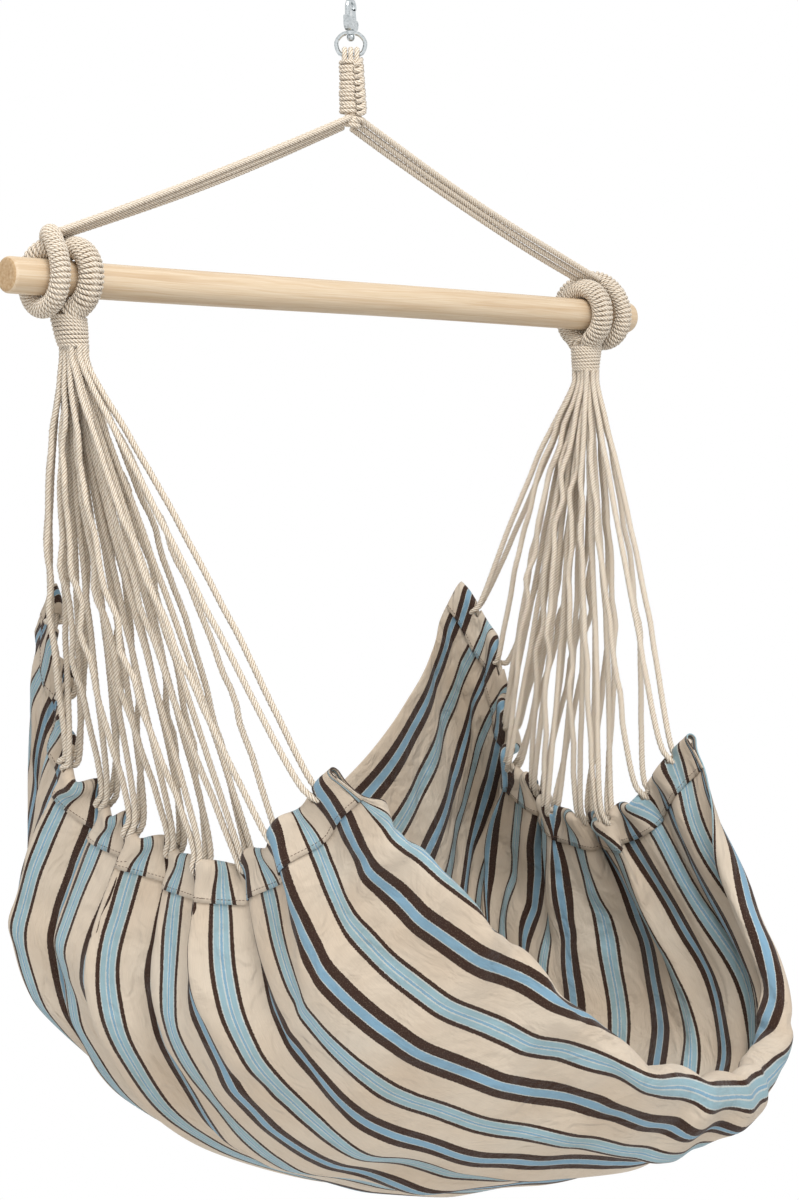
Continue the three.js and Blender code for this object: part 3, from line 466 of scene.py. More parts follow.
def pale_wood():
    f = Finish("pale_wood")
    space = f.add("TexCoord").outputs["Object"]
    waver = f.noise(f.stretched(space, (2.4, 14, 14)), 1.0, 3.0)
    place = f.add("SeparateXYZ", {"Vector": space})
    off_y = f.math("ADD", place.outputs["Y"], f.math("MULTIPLY", f.math("SUBTRACT", waver, 0.5), 0.012))
    off_z = f.math("ADD", place.outputs["Z"], BAR_DROP * MM + 0.006)
    ring = f.math("SQRT", f.math("ADD", f.math("MULTIPLY", off_y, off_y), f.math("MULTIPLY", off_z, off_z)))
    rings = f.math("SINE", f.math("MULTIPLY", ring, 2600.0))
    fibre = f.noise(f.stretched(space, (18, 700, 700)), 1.0, 3.0, 0.6)
    stain = f.noise(f.stretched(space, (5, 30, 30)), 1.0, 2.0)
    colour = f.ramp(rings, [
        (0.0, srgb(232, 208, 174)), (0.6, srgb(243, 224, 196)), (1.0, srgb(222, 192, 154))])
    colour = f.mix(0.55, colour, f.ramp(fibre, [(0.3, srgb(226, 200, 164)), (0.7, srgb(247, 231, 206))]))
    colour = f.mix(f.ramp(stain, [(0.55, grey(0.0)), (0.8, grey(0.45))]), colour, srgb(206, 160, 110))
    streak = f.noise(f.stretched(space, (3.2, 120, 120)), 1.0, 3.0, 0.55, 0.4)
    colour = f.mix(f.ramp(streak, [(0.5, grey(0.0)), (0.68, grey(0.55))]), colour, srgb(206, 172, 132))
    spots = f.add("TexVoronoi", {"Vector": f.stretched(space, (6.5, 30, 30)), "Scale": 1.0})
    knots = f.ramp(spots.outputs["Distance"], [(0.02, grey(0.8)), (0.1, grey(0.0))])
    colour = f.mix(knots, colour, srgb(148, 98, 58))
    at_end = f.math("GREATER_THAN", f.math("ABSOLUTE", place.outputs["X"]), BAR_LENGTH / 2 * MM - 0.0012)
    grain = f.noise(f.stretched(space, (60, 260, 260)), 1.0, 3.0, 0.6)
    end_grain = f.ramp(grain, [
        (0.3, srgb(186, 148, 104)), (0.55, srgb(212, 180, 138)), (0.75, srgb(226, 200, 164))])
    colour = f.mix(at_end, colour, end_grain)
    colour = f.mix(1.0, colour, srgb(226, 224, 222), "MULTIPLY")
    f.wire(colour, "Base Color")
    f.wire(f.bump(fibre, 0.0003, 0.5), "Normal")
    f.wire(f.ramp(fibre, [(0.3, grey(0.62)), (0.7, grey(0.5))]), "Roughness")
    return f.give(Specular_IOR_Level=0.35)


def bright_zinc():
    f = Finish("bright_zinc")
    space = f.add("TexCoord").outputs["Object"]
    haze = f.noise(space, 420.0, 4.0)
    scuff = f.noise(f.stretched(space, (300, 300, 2200)), 1.0, 2.0)
    f.wire(f.ramp(haze, [(0.3, srgb(168, 174, 176)), (0.7, srgb(214, 219, 221))]), "Base Color")
    f.wire(f.ramp(haze, [(0.3, grey(0.24)), (0.75, grey(0.12))]), "Roughness")
    f.wire(f.bump(scuff, 0.00003, 0.3), "Normal")
    return f.give(Metallic=1.0)


def sewing_thread():
    f = Finish("sewing_thread")
    space = f.add("TexCoord").outputs["Object"]
    ply = f.noise(space, 2500.0, 1.0)
    f.wire(f.ramp(ply, [(0.3, srgb(66, 48, 40)), (0.7, srgb(104, 82, 68))]), "Base Color")
    return f.give(Roughness=0.8)


COTTON = cotton_rope()
CANVAS = striped_canvas()
WOOD = pale_wood()
ZINC = bright_zinc()
THREAD = sewing_thread()


# The cloth's surface

def smooth_step(x, low, high):
    t = np.clip((x - low) / (high - low), 0, 1)
    return t * t * (3 - 2 * t)


def cloth_plain(u, v):
    """Points of the smooth cloth for arrays of u (left hem to right hem) and v (back to front)."""
    u, v = np.broadcast_arrays(np.asarray(u, float), np.asarray(v, float))
    shape, u, v = u.shape, u.ravel(), v.ravel()
    column = spline(np.moveaxis(CLOTH_ROWS, 1, 0), u)
    column = np.concatenate([
        2 * column[:, :1] - column[:, 1:2], column, 2 * column[:, -1:] - column[:, -2:-1]], axis=1)
    spans = len(CLOTH_ROWS) - 1
    at = np.clip(v, 0, 1) * spans
    i = np.minimum(at.astype(int), spans - 1)
    rows = np.arange(len(v))
    p = [column[rows, i + k] for k in range(4)]
    return cubic(*p, (at - i)[:, None]).reshape(shape + (3,))


def cloth_normal(u, v):
    step = 0.01
    u, v = np.asarray(u, float), np.asarray(v, float)
    along_u = cloth_plain(np.minimum(u + step, 1), v) - cloth_plain(np.maximum(u - step, 0), v)
    along_v = cloth_plain(u, np.minimum(v + step, 1)) - cloth_plain(u, np.maximum(v - step, 0))
    return unit(np.cross(along_u, along_v))


def pleat(u, v):
    from_middle = np.abs(2 * np.asarray(u, float) - 1)
    below = np.minimum(1, (1 - from_middle) / PLEAT_REACH)
    swell = HEM_PLEAT_DEPTH + 4 * (PLEAT_DEPTH - HEM_PLEAT_DEPTH) * below * (1 - below)
    edges = np.minimum(1, np.minimum(5 * v, 8 * (1 - v)))
    return swell * from_middle**1.5 * edges * np.sin(2 * math.pi * PLEATS * v)


def corner_reach(u, v):
    """The corner behind the right hem is drawn outwards and back by the first rope."""
    share = smooth_step(np.asarray(u, float), 0.80, 1.0) * np.clip(1 - np.asarray(v, float) / 0.13, 0, 1)
    return share[..., None] * np.array(CORNER_REACH)


def cloth(u, v):
    return cloth_plain(u, v) + cloth_normal(u, v) * pleat(u, v)[..., None] + corner_reach(u, v)


def hem_share(sign, v, distance):
    """The share u at which the cloth has run a distance down from a hem, for each v."""
    v = np.atleast_1d(np.asarray(v, float))
    shares = np.arange(0, 0.2, 0.004)
    at = shares if sign < 0 else 1 - shares
    points = cloth_plain(at[:, None], v[None, :])
    run = np.concatenate([np.zeros((1, len(v))), np.cumsum(
        np.linalg.norm(np.diff(points, axis=0), axis=2), axis=0)])
    return np.array([np.interp(distance, run[:, k], at) for k in range(len(v))])


def hem_frames(sign, v):
    """At a hem: the edge and the ways down, in to the seat and along."""
    v = np.atleast_1d(np.asarray(v, float))
    top = 0.0 if sign < 0 else 1.0
    edge = cloth(np.full_like(v, top), v)
    low = cloth(hem_share(sign, v, HEM_DEPTH), v)
    step = 0.01
    after = cloth(np.full_like(v, top), np.minimum(v + step, 1))
    before = cloth(np.full_like(v, top), np.maximum(v - step, 0))
    along = unit(after - before)
    down = low - edge
    down = unit(down - (down * along).sum(-1, keepdims=True) * along)
    inward = unit(np.cross(along, down) * -sign)
    return {"edge": edge, "down": down, "inward": inward, "along": along}


# Rope fans

def loop_share(i):
    return (i + 0.5) / FAN_LOOPS


def collar_slots():
    """Places under the collar, in columns from the back to the front, outer strand first."""
    columns = (1, 2, 2, 2, 2, 1)
    slots = []
    for k, pairs in enumerate(columns):
        y = ((len(columns) - 1) / 2 - k) * FAN_ROPE_PITCH
        slots += [(y, 0.5, -0.5)] if pairs == 1 else [(y, 0.5, -1.5), (y, 1.5, -0.5)]
    return slots


def slack(i):
    """How far a loop's ropes bow out, most in the middle of the fan.

    A doubled loop's second rope has a number with a fraction. Its slack only keeps its waves small.
    """
    if i != int(i):
        return QUIET_SLACK
    return FAN_BOW + FAN_SLACK * math.sin(math.pi * ((i + 1) // 2) / (FAN_LOOPS / 2))


def fan_line(sign, i, beside=0.0, spread=1.0):
    """The route of one loop: down from the collar, round the hem's cord and back up."""
    y, outer_share, inner_share = collar_slots()[i]
    f = {key: value[0] for key, value in hem_frames(sign, loop_share(i)).items()}
    cord_centre = f["edge"] + f["down"] * HEM_CORD_DROP + f["along"] * beside
    bend = (HEM_CORD / 2 + ROPE_GAP + FAN_ROPE / 2) / math.cos(math.pi / 12)
    turns = np.radians([0, 30, 60, 90, 120, 150, 180])
    around = cord_centre - f["inward"] * (bend * np.cos(turns))[:, None] + f["down"] * (
        bend * np.sin(turns))[:, None]
    collar_bottom = -BAR_DROP - COLLAR_TOP_DROP - COLLAR_LENGTH
    foot_x = COLLAR_X + COLLAR_FOOT_SHIFT[sign]
    above_hem = 6 if i < 3 else 14

    def strand(share, goal, bow):
        x = foot_x + share * spread * FAN_SPREAD[sign] * FAN_ROPE_PITCH
        start = np.array([sign * x, y + 0.5 * beside, collar_bottom - 0.3])
        rise = goal - f["down"] * above_hem - f["inward"] * math.copysign(1.5, bow)

        def at(t):
            sway = slack(i) * 0.22 * math.sin(2 * math.pi * t) * t
            return start + (rise - start) * t + np.array([sign * bow * math.sin(math.pi * t), sway, 0])

        return [start + UP * (COLLAR_RAISED + 3), start, start - UP * FAN_ROPE, at(0.3), at(0.65), rise]

    outer = strand(outer_share, around[0], slack(i) * spread)
    inner = strand(inner_share, around[-1], -slack(i) * 0.8 * spread)
    return route(np.array(outer + list(around) + inner[::-1]))


def slack_waves(line, i, sign):
    """The small waves that a slack rope keeps from its lay, none near its ends and its bend."""
    run = run_of(line)
    share = run / run[-1]
    calm = np.clip(np.minimum(share, 1 - share) * 9, 0, 1) * np.clip(np.abs(share - 0.5) * 9 - 0.35, 0, 1)
    size = 0.5 + 4.2 * max(slack(i) - QUIET_SLACK, 0) / FAN_SLACK
    phase = 2.4 * i + sign
    length = 96 + 14 * math.sin(3.1 * i + sign)
    wave = np.sin(2 * math.pi * run / length + phase) + 0.4 * np.sin(2 * math.pi * run / 57.0 + 2 * phase)
    side, other = frames_along(line)
    ways = side * np.cos(run / 90.0)[:, None] + other * np.sin(run / 90.0)[:, None]
    return line + ways * (wave * size * calm)[:, None]


# Each rope of a loop: its place along the hem, its share of the spread and what is added to its number
ONE_ROPE = ((0.0, 1.0, 0.0),)
TWO_ROPES = ((-4.2, 1.0, 0.0), (4.2, 0.2, 1.7))


def rope_fan(name, sign):
    for loop in range(FAN_LOOPS):
        rope = Batch()
        for beside, spread, turn in TWO_ROPES if loop in DOUBLED_LOOPS else ONE_ROPE:
            line = slack_waves(fan_line(sign, loop, beside, spread), loop + turn, sign)
            twisted(rope, line, FAN_ROPE_FULL, FAN_LAY, start=1.3 * loop)
        rope.piece(f"fan_{name}_{loop + 1}", COTTON, "chair", [f"fan_rope_{name}_{loop + 1}"])


for name, sign in SIDES:
    rope_fan(name, sign)


# Spreader bar: a planed pole that is a little uneven along its length, with eased ends

def spreader_bar():
    sides, radius, half = 72, BAR_DIAMETER / 2, BAR_LENGTH / 2
    angle = np.arange(sides) * 2 * math.pi / sides
    eased = [(radius - BAR_END_ROUNDING * (1 - math.cos(a)), half - BAR_END_ROUNDING * (1 - math.sin(a)))
             for a in np.linspace(0, math.pi / 2, 7)]
    stations = [(r, -x) for r, x in reversed(eased)]
    stations += [(radius, x) for x in np.linspace(-half, half, 61)[2:-2]]
    stations += eased
    rings = []
    for r, x in stations:
        bow = 1.0 * math.sin(2.6 * x / half + 0.7) * (1 - (x / half) ** 2)
        flat = 1 + 0.006 * np.cos(2 * angle + x / 160) + 0.004 * np.cos(5 * angle + 1.0)
        rings.append(np.stack([np.full(sides, x), r * flat * np.cos(angle) * 0.995,
                               r * flat * np.sin(angle) * 0.995 + bow - BAR_DROP], axis=1))
    points = np.concatenate(rings)
    faces = []
    for i in range(len(rings) - 1):
        for j in range(sides):
            k = (j + 1) % sides
            faces.append((i * sides + j, i * sides + k, (i + 1) * sides + k, (i + 1) * sides + j))
    last = len(points) - sides
    inner = 0.72
    for start, flip in ((0, True), (last, False)):
        ring = points[start:start + sides]
        centre = ring.mean(axis=0)
        base = len(points)
        points = np.concatenate([points, centre + (ring - centre) * inner, centre[None, :]])
        for j in range(sides):
            k = (j + 1) % sides
            quad = (start + j, start + k, base + k, base + j)
            tip = (base + j, base + k, base + sides)
            faces += [quad[::-1], tip[::-1]] if flip else [quad, tip]
    bar = piece_of("spreader_pole", points, faces, WOOD)
    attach(bar, "chair")
    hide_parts("spreader_bar")


spreader_bar()


# Crown: cords over the eye, the wound neck, its spine of hitches and the gathering knot

def tied(points):
    return turned_about_z(points, EYE_TURN)


def crown_loops():
    bend = EYE_WIRE / 2 + CROWN_CORD / 2 + ROPE_GAP
    for i in range(CROWN_CORDS):
        x = (i - (CROWN_CORDS - 1) / 2) * CROWN_CORD_PITCH
        over = [(x, -bend * math.cos(a), EYE_RING_BOTTOM + bend * math.sin(a))
                for a in np.linspace(0, math.pi, 9)]
        line = [(x, -bend, -NECK_TOP - 2), *over, (x, bend, -NECK_TOP - 2)]
        loop = Batch()
        twisted(loop, tied(route(line)), CROWN_CORD, 21.0, per_strand=6, start=0.7 * i)
        loop.piece(f"crown_cord_{i + 1}", COTTON, "chair", [f"crown_loop_{i + 1}"])


def crown_neck():
    """Cords wound level round the neck, and the bundle inside."""
    core = Batch()
    line = np.array([(0, 0, z) for z in np.linspace(-NECK_BOTTOM, -NECK_TOP + 3, 12)])
    plain_tube(core, tied(line), 15.0, 20)
    core.piece("crown_bundle", COTTON, "chair", ["crown_neck"])
    wound = Batch()
    top, bottom, cord, loops = -NECK_TOP + 1.5, -NECK_BOTTOM + 2.5, 5.6, 13
    for k in range(loops):
        z = bottom + (top - bottom) * (k + 0.5) / loops
        turn = np.linspace(0, 2 * math.pi, 44)
        tilt = 0.9 * math.sin(2.2 * k)
        reach = 9.4 + 0.3 * math.sin(5.3 * k)
        line = np.stack([reach * np.cos(turn) * 1.16 - 0.8, reach * np.sin(turn) * 0.9,
                         z + tilt * np.cos(turn + 0.7 * k)], 1)
        twisted(wound, tied(line), cord, 15.0, per_strand=6, start=0.9 * k)
    wound.piece("crown_wraps", COTTON, "chair", ["crown_winding"])


def crown_spine():
    """Each wrap is locked at the side by a hitch; the hitches stand in a row that leans outwards."""
    row = Batch()
    top, bottom, count = -NECK_TOP + 3.0, -NECK_BOTTOM + 1.0, 9
    pitch = (top - bottom) / count
    for k in range(count):
        z = bottom + (k + 0.5) * pitch
        out = 11.6 - 4.6 * k / count
        turn = np.linspace(-0.75 * math.pi, 0.55 * math.pi, 26)
        reach = 4.9 if k % 2 else 4.3
        line = np.stack([out + reach * np.cos(turn), -3.6 + reach * 1.5 * np.sin(turn),
                         z + 3.4 * np.sin(turn * 0.9)], 1)
        twisted(row, tied(line), 6.8, 19.0, per_strand=6, start=1.7 * k)
        link = np.array([(out - 1.0, -11.8, z - 0.65 * pitch), (out + 3.6, -9.2, z),
                         (out + 5.6, -3.0, z + 0.55 * pitch)])
        twisted(row, tied(route(link)), 5.2, 15.0, per_strand=6, start=2.1 * k)
    row.piece("crown_hitches", COTTON, "chair", ["crown_spine"])


def crown_knot():
    """The gathering knot, from which the upper ropes part."""
    knot = Batch()
    middle = -NECK_BOTTOM - CROWN_KNOT_HEIGHT / 2
    for k, (lift, tilt, reach) in enumerate(((2.6, 0.32, 8.2), (-2.4, -0.28, 8.6), (0.2, 0.05, 9.3))):
        turn = np.linspace(0, 2 * math.pi, 48)
        line = np.stack([reach * np.cos(turn) + 1.2, reach * np.sin(turn) * 0.95,
                         middle + lift + tilt * reach * np.cos(turn + 0.6 * k)], 1)
        twisted(knot, tied(line), 6.8, 20.0, per_strand=6, start=k)
    tail = np.array([(6, -9, middle + 3), (13.5, -6.0, middle + 2), (14.6, 2.5, middle - 2.5),
                     (9.0, 8.0, middle - 4)])
    twisted(knot, tied(route(tail)), 6.6, 20.0, per_strand=6)
    plain_tube(knot, tied(np.array([(0, 0, z) for z in np.linspace(middle - 5, middle + 7, 6)])), 15.0, 16)
    knot.piece("crown_gathering_knot", COTTON, "chair", ["crown_knot"])


crown_loops()
crown_neck()
crown_spine()
crown_knot()


# Upper ropes

ROPE_END_X = (TURN_OUTER_X + TURN_INNER_X) / 2 + 3
ROPE_END_Z = -BAR_DROP + BIGHT_RADIUS - UPPER_ROPE / 2 - 1.8
ROPE_LIFT = 5.4
ROPE_SAG = {-1.0: 4.0, 1.0: 5.5}
ROPE_END_DROP = {-1.0: 0.5, 1.0: 5.0}


def upper_ropes(name, sign):
    """Ropes from the knot to the bight, the front one highest. They come closer together on their way."""
    knot_middle = -NECK_BOTTOM - CROWN_KNOT_HEIGHT / 2
    for row in range(UPPER_ROPES_PER_SIDE):
        y = (row - 1) * UPPER_ROPE_PITCH
        lift = (1 - row) * ROPE_LIFT
        start = np.array([sign * (CROWN_KNOT_DIAMETER / 2 - 5), y * 0.8, knot_middle - 1 + lift])
        end = np.array([sign * ROPE_END_X, y, ROPE_END_Z + lift * 0.8 - ROPE_END_DROP[sign]])
        t = np.linspace(0, 1, 60)
        line = start + (end - start) * t[:, None]
        line[:, 2] -= (ROPE_SAG[sign] + 1.2 * row) * np.sin(math.pi * t)
        line[:, 1] -= 0.35 * y * np.sin(math.pi * np.clip(t * 1.15, 0, 1)) ** 2
        rope = Batch()
        twisted(rope, line, UPPER_ROPE, UPPER_LAY, per_strand=6, steps=10, start=1.1 * row)
        rope.piece(f"upper_{name}_{row + 1}", COTTON, "chair", [f"upper_rope_{name}_{row + 1}"])


for name, sign in SIDES:
    upper_ropes(name, sign)


# Hitches: served strands round the bar, a served bight over it, and the whipped collar

ALONG_BAR = np.array([1.0, 0.0, 0.0])
COLLAR_TOP = -BAR_DROP - COLLAR_TOP_DROP + COLLAR_RAISED


def served(batch, line, strand, cord, pitch, start=0.0, first=None, flat=1.0):
    """A strand wrapped closely in a cord. strand is its whole thickness; flat widens it crossways."""
    even, at = even_line(line, pitch / 14)
    side, other = frames_along(even, first)
    turn = start + 2 * math.pi * at / pitch
    radius = (strand - cord) / 2
    wound = even + (flat * np.cos(turn)[:, None] * side + np.sin(turn)[:, None] * other) * radius
    twisted(batch, wound, cord, 12.0, steps=9)
    plain_tube(batch, even, strand - 1.2 * cord, 10, step=4)


def round_bar(sign, stations):
    """Points round the bar: degrees from its underside towards the front, place along it, distance."""
    degrees, x, radius = np.array(stations, dtype=float).T
    a = np.radians(degrees)
    return np.stack([sign * x, -radius * np.sin(a), -BAR_DROP - radius * np.cos(a)], axis=1)


def hitch_turns(name, sign):
    """The inner turn closes at the collar; the outer one goes on into the bight, which lies over the bar."""
    foot = np.array([[sign * (COLLAR_X + 4.0), -5.0, COLLAR_TOP + 1]])
    back = np.array([[sign * (COLLAR_X - 4.0), 6.0, COLLAR_TOP + 2]])
    slope = [(d, math.cos(math.radians(d)) - math.sin(math.radians(d))) for d in range(30, 331, 12)]
    ring = round_bar(sign, [(d, 413.0 + 1.5 * lean, 34.0) for d, lean in slope])
    inner = Batch()
    served(inner, route(np.concatenate([foot, ring, back]), 6), 26.0, SERVING_CORD, SERVING_PITCH,
           start=0.4 * sign, first=ALONG_BAR, flat=1.24)
    inner.piece(f"turn_inner_{name}", COTTON, "chair", [f"hitch_serving_inner_{name}"])

    turn = [(168, 432, 33.0), (186, 438, 33.0), (205, 443, 33.2), (230, 446, 33.4), (255, 447, 33.4),
            (280, 448, 33.4), (305, 449, 33.4), (330, 450, 33.6), (355, 451, 33.8), (380, 452, 34.0),
            (405, 452.5, 34.0), (430, 452.5, 33.8), (455, 452, 33.8), (480, 451, 34.6), (502, 449.5, 37.5)]
    outer = Batch()
    served(outer, route(round_bar(sign, turn), 7), 23.5, SERVING_CORD, SERVING_PITCH, start=0.7)
    outer.piece(f"turn_outer_{name}", COTTON, "chair", [f"hitch_serving_outer_{name}"])

    over = [(495, 450, 36.4), (512, 448.5, 39.0), (527, 445, 43.5), (543, 439, 47.5), (559, 431, 49.0),
            (575, 422, 47.5), (590, 415, 45.0), (604, 410, 40.0)]
    bight = Batch()
    served(bight, route(round_bar(sign, over), 8), 23.0, SERVING_CORD, SERVING_PITCH)
    bight.piece(f"bight_{name}", COTTON, "chair", [f"hitch_bight_{name}"])


def collar_x(sign, t):
    """The collar's place along the bar, from its foot (t is 0) to its top (t is 1)."""
    return COLLAR_X + COLLAR_FOOT_SHIFT[sign] * (1 - t)


def collar_wraps(name, sign):
    collar = Batch()
    levels = np.linspace(COLLAR_TOP - COLLAR_LENGTH + 3.2, COLLAR_TOP - 1.0, 8)
    for k, z in enumerate(levels):
        around = np.linspace(0, 2 * math.pi, 60)
        t = k / (len(levels) - 1)
        wide, deep = 14.4 + 4.6 * t**0.8, 16.8 + 1.0 * t
        line = np.stack([wide * np.cos(around), deep * np.sin(around),
                         0.7 * np.sin(around + 0.8 * k) + 1.3 * np.cos(around) * sign * t], 1)
        line += (sign * (collar_x(sign, t) + 1.5 * t), 0, z)
        twisted(collar, line, 5.0, 12.0, steps=9, start=k)
    collar.piece(f"collar_wraps_{name}", COTTON, "chair", [f"collar_whipping_{name}"])


def collar_bundle(name, sign):
    """Five thick strands inside the wraps, for each its place off the middle and its thickness."""
    thick_strands = ((-3.5, -5.0, 21.0), (3.5, 5.0, 21.0), (-3.0, 6.0, 20.0), (3.0, -6.0, 20.0),
                     (0.0, 0.0, 24.0))
    bundle = Batch()
    for x, y, wide in thick_strands:
        line = np.array([(sign * collar_x(sign, t) + x * (1 + 0.25 * t), y,
                          COLLAR_TOP - COLLAR_LENGTH - 1 + (COLLAR_LENGTH + 4) * t)
                         for t in np.linspace(0, 1, 9)])
        twisted(bundle, line, wide, 60.0, per_strand=6)
    bundle.piece(f"collar_bundle_{name}", COTTON, "chair", [f"hitch_core_{name}"])


for name, sign in SIDES:
    hitch_turns(name, sign)
    collar_wraps(name, sign)
    collar_bundle(name, sign)


# Seat cloth: one sheet, hung in overlapping folds from its hems and rolled along its front edge

PANEL_FLAT = 98.0
FOLD_PITCH_STEP = 2.0
FOLD_SHARES = 40
FOLD_OVERLAP = 21.0
FOLD_COLUMN_SHARES = (0.0, 0.055, 0.145, 0.26, 0.38, 0.5, 0.62, 0.74, 0.855, 0.945)
PANEL_TILT = 11.0
TOP_FOLD_DEPTH = 9.0
TOP_FOLD_OVERLAP = 1.5
LIP_ROLL = 62.0
LIP_ROLL_STEPS = 12
LIP_ROLL_ANGLE = 3.9
LIP_PULL = 12.0
SEAT_ROWS = 82
HEM_CREST = -1.2
# The hem's folded-over leg, from its foot up: how far it stands off and how far below the edge. The leg that
# goes on into the seat comes down through the same levels.
LEG_RISE = ((2.9, HEM_FOOT), (2.7, 33.0), (3.6, 20.0), (5.9, 11.0), (6.6, 5.6), (4.4, 0.6))
SEAT_LEG = (-4.4, -6.6, -4.4, -0.6, 0.0, 0.0)
# Where the cloth stands out or is drawn in: height, place and width along u, place and width along v
TAUT_PLACES = (
    (15.0, 0.235, 0.06, 0.2, 0.16), (-9.0, 0.14, 0.05, 0.15, 0.15), (14.0, 0.67, 0.09, 0.94, 0.13),
    (-9.0, 0.955, 0.03, 0.98, 0.10), (14.0, 0.82, 0.09, 0.95, 0.14),
)
CREASE_CAP = 16.0
STRIPE_START = 0.034
STRIPE_LEAN = 0.100
STRIPE_RETURN = 0.050
STRIPE_LEAN_REACH = 0.45


def fold_table():
    """For each pitch of the panels: their overlap, their depth and the phase by share of the cloth."""
    pitches = np.arange(44.0, 124.0, FOLD_PITCH_STEP)
    phase = np.linspace(0, 2 * math.pi, 181)
    shares = np.linspace(0, 1, FOLD_SHARES + 1)
    overlaps, depths, phases = [], [], []
    for pitch in pitches:
        overlap = FOLD_OVERLAP * min(max((96 - pitch) / 32, 0), 1)
        low, high = 0.0, 34.0
        for _ in range(22):
            depth = (low + high) / 2
            steps = np.hypot(np.diff(pitch * phase / (2 * math.pi) - overlap * np.sin(phase)),
                             np.diff(depth * np.sin(phase)))
            low, high = (depth, high) if steps.sum() < PANEL_FLAT else (low, depth)
        run = np.concatenate([[0], np.cumsum(steps)])
        overlaps.append(overlap)
        depths.append(depth)
        phases.append(np.interp(shares, run / run[-1], phase))
    return pitches, np.array(overlaps), np.array(depths), np.array(phases)


FOLD_PITCHES, FOLD_OVERLAPS, FOLD_DEPTHS, FOLD_PHASES = fold_table()


def folded(u, v, from_hem):
    """Points of the cloth with its folds. from_hem is the distance down from the nearest hem."""
    step = 0.012
    ahead, behind = np.minimum(v + step, 1), np.maximum(v - step, 0)
    width = np.linalg.norm(cloth_plain(u, ahead) - cloth_plain(u, behind), axis=-1)
    spread = width / (ahead - behind) / FAN_LOOPS
    pitch = np.clip(spread, FOLD_PITCHES[0], FOLD_PITCHES[-1] - 0.01)
    place = v * FAN_LOOPS - 0.5
    panel = np.floor(place)
    share = place - panel
    row = (pitch - FOLD_PITCHES[0]) / FOLD_PITCH_STEP
    i = row.astype(int)
    row = row - i
    column = np.minimum(share * FOLD_SHARES, FOLD_SHARES - 0.001)
    j = column.astype(int)
    column = column - j
    phase = ((1 - row) * ((1 - column) * FOLD_PHASES[i, j] + column * FOLD_PHASES[i, j + 1])
             + row * ((1 - column) * FOLD_PHASES[i + 1, j] + column * FOLD_PHASES[i + 1, j + 1]))
    from_middle = np.abs(2 * u - 1)
    ends = np.clip(np.minimum(6 * v + 0.25, 8 * (1 - v)), 0, 1)
    sway = 1 + 0.2 * np.sin(15.0 * v + 2.5 * u) + 0.12 * np.sin(41.0 * v - 5.0 * u)
    full = smooth_step(from_hem, 8.0, 44.0)
    depth = np.interp(pitch, FOLD_PITCHES, FOLD_DEPTHS) * (0.28 + 0.72 * from_middle**1.3) * sway
    overlap = np.interp(pitch, FOLD_PITCHES, FOLD_OVERLAPS)
    depth = (depth * full + TOP_FOLD_DEPTH * (1 - full)) * ends
    overlap = (overlap * full + TOP_FOLD_OVERLAP * (1 - full)) * ends
    tilt = PANEL_TILT * np.exp(-np.maximum(from_hem, 0) / 95.0) * ends * np.clip((0.62 - v) * 5, -0.7, 1)
    at = np.clip((panel + phase / (2 * math.pi) + 0.5) / FAN_LOOPS, 0, 1)
    across = unit(cloth_plain(u, np.minimum(at + step, 1)) - cloth_plain(u, np.maximum(at - step, 0)))
    return (cloth(u, at) + cloth_normal(u, at) * (depth * np.sin(phase))[..., None]
            - across * (overlap * np.sin(phase))[..., None] - UP * (tilt * np.sin(phase))[..., None])


def hem_rows(sign, v, levels):
    """Rows of the folded cloth at distances below a hem, and the outward direction at each point."""
    levels = np.asarray(levels, float)
    shares = np.stack([hem_share(sign, v, max(level, 0.0)) for level in levels])
    rows = folded(shares, np.broadcast_to(v, shares.shape), np.broadcast_to(levels[:, None], shares.shape))
    step = 6.0
    below = np.stack([hem_share(sign, v, max(level, 0.0) + step) for level in levels])
    deeper = np.broadcast_to(levels[:, None] + step, below.shape)
    lower = folded(below, np.broadcast_to(v, below.shape), deeper)
    down = unit(lower - rows)
    along = unit(np.gradient(rows, axis=1))
    outward = unit(np.cross(down, along)) * -sign
    rows = rows + down * np.minimum(levels, 0)[:, None, None]
    return rows, outward


def rolled_edge(rows, outward, from_hem, v, t):
    """Columns past the front edge that roll inwards, more of it away from the hems."""
    ahead = unit(rows[:, -1] - rows[:, -3])
    free = smooth_step(from_hem, 30.0, 150.0)[:, None]
    pull = LIP_PULL * (1 + 2.5 * np.exp(-((t - 0.69) / 0.15) ** 2))[:, None]
    pull = pull * free * smooth_step(v, 0.72, 1.0)
    rows = rows - ahead[:, None, :] * pull[..., None]
    length = LIP_ROLL * (1 + 0.45 * np.exp(-((t - 0.66) / 0.16) ** 2))[:, None]
    step = (5.0 + (length - 5.0) * free) / LIP_ROLL_STEPS
    at = rows[:, -1]
    added = []
    for k in range(LIP_ROLL_STEPS):
        a = (k + 0.7) / LIP_ROLL_STEPS * LIP_ROLL_ANGLE * free
        at = at + step * (np.cos(a) * ahead + np.sin(a) * -outward[:, -1])
        added.append(at)
    return np.concatenate([rows, np.stack(added, axis=1)], axis=1)


def outward_at(u, v):
    return cloth_normal(u, np.broadcast_to(v, u.shape))


